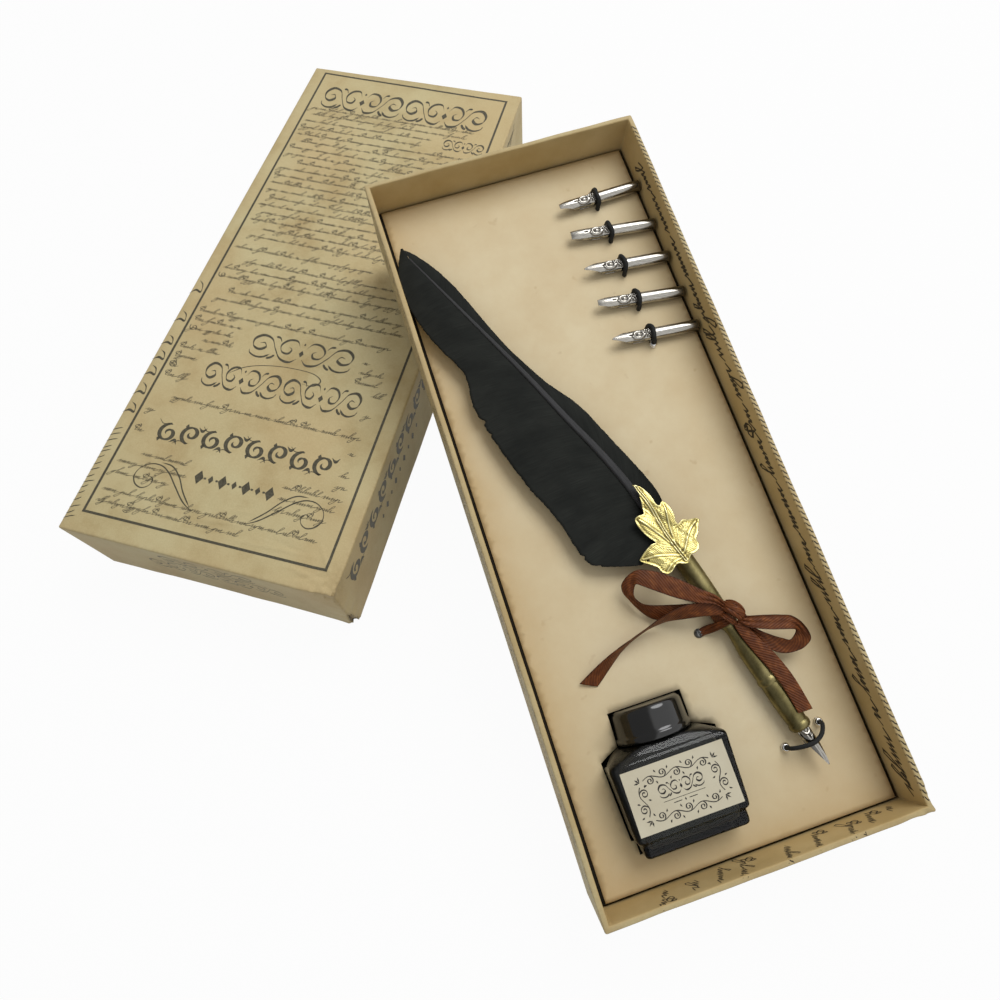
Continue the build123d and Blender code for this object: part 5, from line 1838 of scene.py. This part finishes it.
def scroll_row(length, tall, count, thick, arch=0.0):
    """A bold running scroll: each wave curls over into a spiral with a bud and a leaf."""
    parts = []
    pitch = length / count
    for k in range(count):
        x = pitch * (k + 0.5)
        lift = arch * math.sin(math.pi * x / length)
        side = 1 if k % 2 else -1
        middle = (x, lift + tall * 0.5 + side * tall * 0.06)
        curl = spiral(middle, tall * 0.42, 90 * side + 180, -1.35 * side, 44)
        tail = spline([(x - pitch * 0.62, lift + tall * (0.5 - 0.46 * side)),
                       (x - pitch * 0.40, lift + tall * (0.5 - 0.30 * side)), tuple(curl[0])], 10)[:-1]
        parts.append(stroke(np.vstack([tail, curl]), thick, thick * 0.42, 0.0, 0.22))
        leaf = spline([(x + pitch * 0.22, lift + tall * (0.5 + 0.40 * side)),
                       (x + pitch * 0.42, lift + tall * (0.5 + 0.28 * side)),
                       (x + pitch * 0.56, lift + tall * (0.5 + 0.44 * side))], 12)
        parts.append(stroke(leaf, thick * 0.9, thick * 0.9, 0.0, 0.5))
        parts.append(diamond((x - pitch * 0.30, lift + tall * (0.5 + 0.34 * side)), thick * 0.75))
    return parts


def diamond(middle, size):
    """A small lozenge."""
    x, y = middle
    return np.array(((x, y - size), (x + size * 0.62, y), (x, y + size), (x - size * 0.62, y))), [(0, 1, 2, 3)]


def line(a, b, width, step=2.0):
    """A straight ruled line."""
    a, b = np.array(a, float), np.array(b, float)
    count = max(2, round(np.linalg.norm(b - a) / step))
    return stroke(a + (b - a) * np.linspace(0, 1, count + 1)[:, None], width, width)


def printed(name, parts, onto, bend, place, body, paint, node):
    """Lays flat strips on the paper.  onto gives points and outward directions in the box's frame."""
    flat, faces = joined(*parts)
    base, out = onto(flat)
    low = bend(base)
    high = bend(base + out * 0.4)
    lift = np.full((len(base), 1), print_lift)
    if place is LID:
        lift[:, 0] += 0.20 * np.exp(-(np.linalg.norm(base - lid_corner, axis=1) / 17) ** 2)
    thing = piece(name, low + unit(high - low) * lift, faces, place, body, paint.material, (),
                  along=level(flat), smooth=False)
    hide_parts(node)


def on_lid_top(flat):
    """The sheet of the lid's top, in the LID frame."""
    return level(flat), np.tile((0.0, 0.0, 1.0), (len(flat), 1))


def on_wall(which, corner_x, width, length, u, inset, height, inward, up):
    """Points and outward directions on one wall of a box half.  u runs along the wall, and inset
    goes into it.  inward and up are the two parts of the direction."""
    zero = np.zeros_like(u)
    inset, inward, up = zero + inset, zero + inward, zero + up
    place, way = {
        "right": ((corner_x + width - inset, u), (-inward, zero)),
        "left": ((corner_x + inset, length - u), (inward, zero)),
        "near": ((corner_x + u, inset), (zero, inward)),
        "far": ((corner_x + width - u, length - inset), (zero, -inward)),
    }[which]
    return np.column_stack([*place, height]), np.column_stack([*way, up])


def on_lid_side(which):
    """Sheets of the lid's walls: x runs along the wall, y up from its rim."""
    def onto(flat):
        u, v = flat.T
        return on_wall(which, 0.0, lid_width, lid_length, u, 0.0, v - lid_height, -1.0, 0.0)
    return onto


# The tray's paper in section, without its way back behind the wall
WRAP = np.array(wrap_stations(tray_height, tray_step)[:-3 - round(tray_height / tray_step)])
wrap_run = np.concatenate([[0], np.cumsum(np.linalg.norm(np.diff(WRAP, axis=0), axis=1))])
wrap_top = np.argmax(WRAP[:, 1])
rim_at = float(np.interp(wall / 2, WRAP[wrap_top:, 0], wrap_run[wrap_top:]))


def wrap_at(run):
    """Inset and height of the tray's paper at a distance along its section."""
    return np.array([np.interp(run, wrap_run, WRAP[:, 0]), np.interp(run, wrap_run, WRAP[:, 1])])


def on_tray_wall(which):
    """Sheets of the tray's walls: x runs along the wall, y across it from the middle of its rim, inwards."""
    def onto(flat):
        u, v = flat.T
        inset, height = wrap_at(rim_at + v)
        slope = unit((wrap_at(rim_at + v + 0.2) - wrap_at(rim_at + v - 0.2)).T)
        return on_wall(which, -tray_width / 2, tray_width, tray_length, u, inset, height,
                       -slope[:, 1], slope[:, 0])
    return onto


PRINT = ink_paint("print_ink", rgb(66, 62, 48), 0.62)
PRINT_DEEP = ink_paint("print_ink_deep", rgb(48, 40, 25), 0.62)
PRINT_SOFT = ink_paint("print_ink_soft", rgb(104, 96, 74), 0.62)
FRAME_CORNERS = ((7.2, 9.8), (lid_width - 7.0, 10.4), (lid_width - 7.6, 298.2), (7.6, 300.6))
# Boxes that the rows of pen work leave free for the ornament
TITLES = ((12, 264, 113, 293), (92, 252, 118, 262), (40, 98, 98, 120), (24, 77, 108, 99), (18, 46, 108, 65),
          (45, 31, 86, 43))


rule_width = 1.15


def frame_lines():
    """The broad rule round the lid's top."""
    parts = []
    corners = [np.array(c) for c in FRAME_CORNERS]
    for a, b in zip(corners, corners[1:] + corners[:1]):
        reach = unit(b - a) * rule_width / 2
        parts.append(line(a - reach, b + reach, rule_width))
    return parts


row_top = 259.5             # places of the first and last row, from the lid's near end
row_bottom = 13.0
row_pitch = 5.5


def lid_rows():
    """Rows of pen work inside the frame, with gaps where the large flourishes stand."""
    rng = random.Random(1787)
    parts = []
    y = row_top
    row = 0
    while y > row_bottom:
        start = 10.5 + rng.choice((0, 0, 0, 0, 4, 9))
        end = lid_width - 10 - (rng.uniform(4, 45) if rng.random() < 0.12 else rng.uniform(0, 2.5))
        runs = [(start, end)]
        for x0, y0, x1, y1 in TITLES:
            if y0 - 1.5 < y < y1 - 1.0:
                runs = [r for a, b in runs for r in ((a, min(b, x0 - 2)), (max(a, x1 + 2), b))
                        if r[1] - r[0] > 5]
        for a, b in runs:
            parts += turned(penned_row(rng, b - a, 1.5, weight=1.1), (a, y), -0.5 + 0.15 * math.sin(row))
        if rng.random() < 0.2 and runs and runs[0][0] < 16:
            parts.append(stroke(spiral((runs[0][0] + 1.0, y + 1.6), 2.3, 150, 1.2, 22), 0.42, 0.14))
        y -= row_pitch if rng.random() > 0.12 else row_pitch + 3.1
        row += 1
    for k, y in enumerate((270.0, 265.2)):
        parts += turned(penned_row(rng, 98, 1.5, weight=1.1), (11 + 2 * k, y), -0.8)
    return parts


# Lines of the lid's ornament: a swash between two rows, and the left corner scroll
SWASH = ((38.5, 89.6), (45.6, 95.3), (55.7, 98.6), (69.3, 99.9), (80.1, 98.8), (83.7, 96.0), (81.3, 92.9),
         (74.9, 92.9))
SCROLL_LEFT = ((54.4, 20.4), (47.9, 23.9), (41.3, 29.9), (35.4, 35.5), (31.0, 37.9), (26.1, 37.8), (21.9, 34.8),
               (20.9, 30.6), (22.9, 27.2), (26.5, 25.9), (29.4, 27.6), (30.1, 30.3), (28.5, 31.8), (26.4, 31.0))
scroll_mirror = 130.8       # twice the place of the line that the right scroll is mirrored about
SCROLL_LEFT_ARM = ((30.3, 39.4), (35.6, 38.8), (40.7, 34.9), (45.7, 28.4), (51.6, 22.4))


def lid_ornament():
    """The large flourishes on the lid's top."""
    parts = turned(flourishes(100, 17.5, 2, 2.0, 0.34), (12.5, 273.0), -1.2)
    parts += turned(flourishes(24, 8.0, 1, 1.1, 0.22), (93, 254), -1.0)
    parts += turned(flourishes(54, 13.5, 1, 1.5, 0.3), (42, 102.0), 0.6)
    parts += turned(flourishes(80, 13.5, 2, 1.5, 0.3), (27, 81.5), -0.4)
    parts.append(stroke(spline(SWASH, 60), 0.6, 0.3, 0.0, 0.1))
    parts += turned(scroll_row(86, 12.0, 8, 1.9, 1.2), (20.5, 48.2), 0.3)
    for k in range(7):
        parts += turned([diamond((0, 0), 3.4 if k % 2 == 0 else 2.0)], (49.5 + 5.6 * k, 36.8))
        if k < 6:
            parts.append(line((51.8 + 5.6 * k, 36.8), (52.9 + 5.6 * k, 36.8), 0.9, 0.5))
    for run in (SCROLL_LEFT, SCROLL_LEFT_ARM):
        for mirror in (False, True):
            points = np.array([(scroll_mirror - x, y - 0.2) if mirror else (x, y) for x, y in run])
            parts.append(stroke(spline(points, 8 * len(run)), 0.62, 0.26, 120.0 if mirror else 60.0, 0.1))
    return parts


def lid_margin():
    """Ends of the side wall's strokes that run over the left edge onto the top."""
    rng = random.Random(5)
    parts = []
    for y, tall in ((130, 8.5), (112, 7), (98, 6), (89, 6), (80, 6), (69, 7), (59, 6)):
        run = spline(((0.1, y), (2.6, y + tall * 0.30), (5.2, y + tall * 0.2), (4.4, y + tall * 0.75),
                      (2.0, y + tall)), 26)
        parts.append(stroke(run, 1.25, 0.3, 100.0, 0.25))
    for k in range(16):
        y = 50 - 3.0 * k + rng.uniform(-0.5, 0.5)
        run = spline(((0.2, y - 0.8), (2.2, y + 0.4), (rng.uniform(2.8, 5.0), y + 1.4)), 10)
        parts.append(stroke(run, 0.5, 0.2, 80.0, 0.2))
    return parts


def side_rows(seed, length, low, high, tall, pitch, start=3.0):
    """Rows of pen work down a wall, from high to low."""
    rng = random.Random(seed)
    parts, y = [], high
    while y > low:
        row = penned_row(rng, length - start - rng.uniform(3, 20), tall)
        parts += turned(row, (start + rng.uniform(0, 5), y))
        y -= pitch
    return parts


def print_lid():
    """All print on the lid."""
    printed("print_lid_rows", lid_rows(), on_lid_top, lid_bend, LID, "lid", PRINT, "lid_wrap")
    printed("print_lid_frame", frame_lines() + lid_ornament() + lid_margin(), on_lid_top, lid_bend, LID, "lid",
            PRINT, "lid_wrap")
    high = lid_height
    bold = turned(scroll_row(112, 13.0, 9, 2.7), (12, high - 19))
    bold += turned([diamond((6.2 * k, 0), 2.6 if k % 2 else 1.7) for k in range(9)], (48, high - 25))
    bold += side_rows(11, 300, 6, high - 8, 2.2, 7.0, 132.0)
    printed("print_lid_right", bold, on_lid_side("right"), lid_bend, LID, "lid", PRINT, "lid_wrap")
    bold = turned(scroll_row(112, 13.0, 9, 2.7), (168, high - 19)) + side_rows(12, 160, 6, high - 8, 2.2, 7.0)
    printed("print_lid_left", bold, on_lid_side("left"), lid_bend, LID, "lid", PRINT, "lid_wrap")
    soft = turned(flourishes(46, 9.5, 1, 1.2, 0.26), (42, high - 15)) + turned(flourishes(66, 10, 2, 1.2, 0.26),
                                                                               (32, high - 27))
    printed("print_lid_near", soft, on_lid_side("near"), lid_bend, LID, "lid", PRINT_SOFT, "lid_wrap")
    printed("print_lid_far", soft, on_lid_side("far"), lid_bend, LID, "lid", PRINT_SOFT, "lid_wrap")


hatch_count = 120           # short slanted strokes along the rim
hatch_pitch = 2.42


def print_tray():
    """All print on the tray."""
    rng = random.Random(31)
    parts = []
    for y, tall in ((-34.0, 2.4), (-25.5, 2.4), (-17.0, 2.4), (-8.5, 2.4), (6.4, 3.5)):
        start, reach = (2.5, tray_length - 4) if y < 6 else (4.5, tray_length - 9)
        row = penned_row(rng, reach - rng.uniform(0, 12), tall, weight=1.5 if y < -1 else 1.9)
        parts += turned(row, (start + rng.uniform(0, 6), y))
    for k in range(hatch_count):
        x = 3.5 + hatch_pitch * k
        leaf = ((x, -0.9), (x + 0.5, 0.0), (x + 1.5, 0.5), (x + 1.9, 1.3))
        parts.append(stroke(spline(leaf, 8), 0.95, 0.35))
    printed("print_tray_right", parts, on_tray_wall("right"), tray_bend, TRAY, "tray", PRINT_DEEP, "tray_wrap")
    parts = side_rows(32, tray_length, -36, -7, 2.0, 8.5)
    printed("print_tray_left", parts, on_tray_wall("left"), tray_bend, TRAY, "tray", PRINT, "tray_wrap")
    parts = []
    for x in (24.0, 35.0, 45.5, 54.0, 70.0, 82.0, 94.0, 103.0, 111.0):
        row = penned_row(rng, rng.uniform(14, 22), 2.3, weight=1.3)
        parts += turned(row, (x, 15.5 - rng.uniform(0, 4)), -108)
    for x in (30.0, 38.5, 47.0, 55.5, 64.0, 72.5, 81.0, 89.5):
        parts += turned(penned_row(rng, 28, 2.0), (x, -8), -90)
    printed("print_tray_near", parts, on_tray_wall("near"), tray_bend, TRAY, "tray", PRINT_DEEP, "tray_wrap")


print_lid()
print_tray()


# ---- Label --------------------------------------------------------------------------------


def label_paint():
    """Smooth cream paper."""
    paint = Paint("label_paper", rgb(208, 200, 176), 0.66, specular_ior_level=0.3)
    space = paint.space()
    cloud = paint.noise(space, 60, 4)
    paint.set("Base Color", paint.ramp(cloud, (0.3, rgb(202, 193, 168)), (0.7, rgb(213, 206, 182))))
    paint.bump(paint.noise(space, 1600, 3), 0.08, 0.05)
    return paint


label_middle = 18.65        # up the bottle from its foot
label_face = 15.15          # out from the bottle's middle


def vine(length, units, tall, flip):
    """A wavy stem with a spiral and two leaves in each of its bends."""
    parts = []
    x = np.linspace(0, length, units * 16 + 1)
    stem = np.column_stack([x, flip * tall * 0.22 * np.sin(x / length * units * math.pi)])
    parts.append(stroke(stem, 0.34, 0.20, 45.0))
    for k in range(units):
        side = flip if k % 2 else -flip
        middle = (length * (k + 0.5) / units, side * tall * 0.20)
        parts.append(stroke(spiral(middle, tall * 0.40, -90 * side, 1.5 * side, 30), 0.46, 0.18, 0.0, 0.08))
        for step in (-0.42, 0.40):
            x0, y0 = middle[0] + step * length / units, middle[1] + side * tall * 0.30
            leaf = spline(((x0, y0 - side * 0.5), (x0 + step * 0.8, y0), (x0 + step * 1.2, y0 + side * 0.6)), 7)
            parts.append(stroke(leaf, 0.6, 0.6, 0.0, 0.5))
    return parts


def make_label():
    """The bottle's label: a border of scrolls round a plain middle with a small divider."""
    parts = []
    wide, high = 29.6, 15.2
    parts += turned(vine(wide * 0.84, 5, 3.7, 1), (-wide * 0.42, high / 2 - 0.9))
    parts += turned(vine(wide * 0.84, 5, 3.7, -1), (-wide * 0.42, 0.9 - high / 2))
    parts += turned(vine(high * 0.66, 2, 4.3, -1), (0.6 - wide / 2, -high * 0.33), 90)
    parts += turned(vine(high * 0.66, 2, 4.3, 1), (wide / 2 - 0.6, -high * 0.33), 90)
    for sx in (-1, 1):
        for sy in (-1, 1):
            corner = np.array((sx * (wide / 2 - 1.0), sy * (high / 2 - 1.2)))
            for a in (0, 45, 90):
                way = np.array((sx * math.cos(math.radians(a)), sy * math.sin(math.radians(a))))
                ray = spline((corner, corner + way * 1.1, corner + way * 2.0), 7)
                parts.append(stroke(ray, 0.6, 0.6, 0.0, 0.5))
    parts += turned(flourishes(17.5, 4.6, 1, 0.62, 0.16), (-8.75, -0.9))
    parts += [line((-7.8, -2.1), (7.8, -2.1), 0.16, 0.8), line((-4.4, -3.3), (-1.4, -3.3), 0.26, 0.6)]
    parts += [line((1.4, -3.3), (4.4, -3.3), 0.26, 0.6), diamond((0, -3.3), 0.5)]
    flat, faces = joined(*parts)
    points = np.column_stack([flat[:, 0], flat[:, 1] + label_middle, np.full(len(flat), label_face + 0.045)])
    piece("label_print", points, faces, BOTTLE, "bottle", LABEL_INK.material, (), smooth=False)


LABEL_INK = ink_paint("label_ink", rgb(34, 31, 28), 0.5)
dress("bottle_label", label_paint())
make_label()


# ---- Floor and light --------------------------------------------------------------------
WORLD_LIGHT = 0.46
FLOOR_GLOW = 0.96           # share of plain white in the floor where it is looked at
BRIGHT_SIDE = (1.0, 0.5, 0.0)
DIM_SHARE = 0.30            # of the light on the other side, as gloss and glass show it
floor_reach = 4.0           # metres from the middle to a side
floor_drop = 0.00002        # metres below the table's level


def looked_at(tree):
    """1 for rays from the camera, from gloss and through glass, else 0."""
    path = tree.nodes.new("ShaderNodeLightPath")
    seen = path.outputs["Is Camera Ray"]
    for name in ("Is Glossy Ray", "Is Transmission Ray"):
        seen = add_node(tree, "ShaderNodeMath", {0: seen, 1: path.outputs[name]},
                        operation="MAXIMUM").outputs[0]
    return seen


def make_floor():
    """A plain pale floor that reads as white and keeps the shadow."""
    mesh = bpy.data.meshes.new("floor")
    corners = [(x * floor_reach, y * floor_reach, -floor_drop) for x, y in ((-1, -1), (1, -1), (1, 1), (-1, 1))]
    mesh.from_pydata(corners, [], [(0, 1, 2, 3)])
    floor = placed("floor", mesh)
    paint = Paint("floor", (0.60, 0.60, 0.60, 1), 0.9, specular_ior_level=0.0)
    tree = paint.tree
    white = paint.node("ShaderNodeEmission")
    share = paint.math("MULTIPLY", looked_at(tree), FLOOR_GLOW)
    mixed = paint.node("ShaderNodeMixShader", {"Fac": share, 1: paint.shader.outputs[0], 2: white.outputs[0]})
    tree.links.new(mixed.outputs[0], tree.nodes["Material Output"].inputs["Surface"])
    mesh.materials.append(paint.material)


def area_light(name, place, aim, size, power):
    """A round soft lamp, with places and size in metres and power in watts."""
    data = bpy.data.lights.new(name, "AREA")
    data.shape = "DISK"
    data.size = size
    data.energy = power
    light = placed(name, data)
    light.location = place
    light.visible_transmission = False
    light.rotation_mode = "QUATERNION"
    light.rotation_quaternion = (Vector(aim) - Vector(place)).to_track_quat("-Z", "Y")


def make_world():
    """Even light, with a dimmer left side for gloss and glass to show."""
    world = bpy.data.worlds.new("studio")
    bpy.context.scene.world = world
    world.use_nodes = True
    tree = world.node_tree
    back = tree.nodes["Background"]
    back.inputs["Color"].default_value = (1, 1, 1, 1)
    way = tree.nodes.new("ShaderNodeTexCoord")
    lean = add_node(tree, "ShaderNodeVectorMath", {0: way.outputs["Generated"], 1: BRIGHT_SIDE},
                    operation="DOT_PRODUCT")
    bright = add_node(tree, "ShaderNodeMapRange", {
        "Value": lean.outputs["Value"], "From Min": -0.15, "From Max": 0.08, "To Min": DIM_SHARE, "To Max": 1.0,
    }, interpolation_type="SMOOTHSTEP")
    path = tree.nodes.new("ShaderNodeLightPath")
    seen = add_node(tree, "ShaderNodeMath", {0: bright.outputs[0], 1: path.outputs["Is Camera Ray"]},
                    operation="MAXIMUM")
    strength = add_node(tree, "ShaderNodeMapRange", {"Value": looked_at(tree), "To Min": WORLD_LIGHT,
                                                     "To Max": seen.outputs[0]})
    tree.links.new(strength.outputs[0], back.inputs["Strength"])


make_floor()
make_world()
area_light("key", place=(0.30, 0.60, 1.15), aim=(0, 0, 0), size=0.9, power=10.0)
bpy.context.scene.view_settings.view_transform = "Standard"
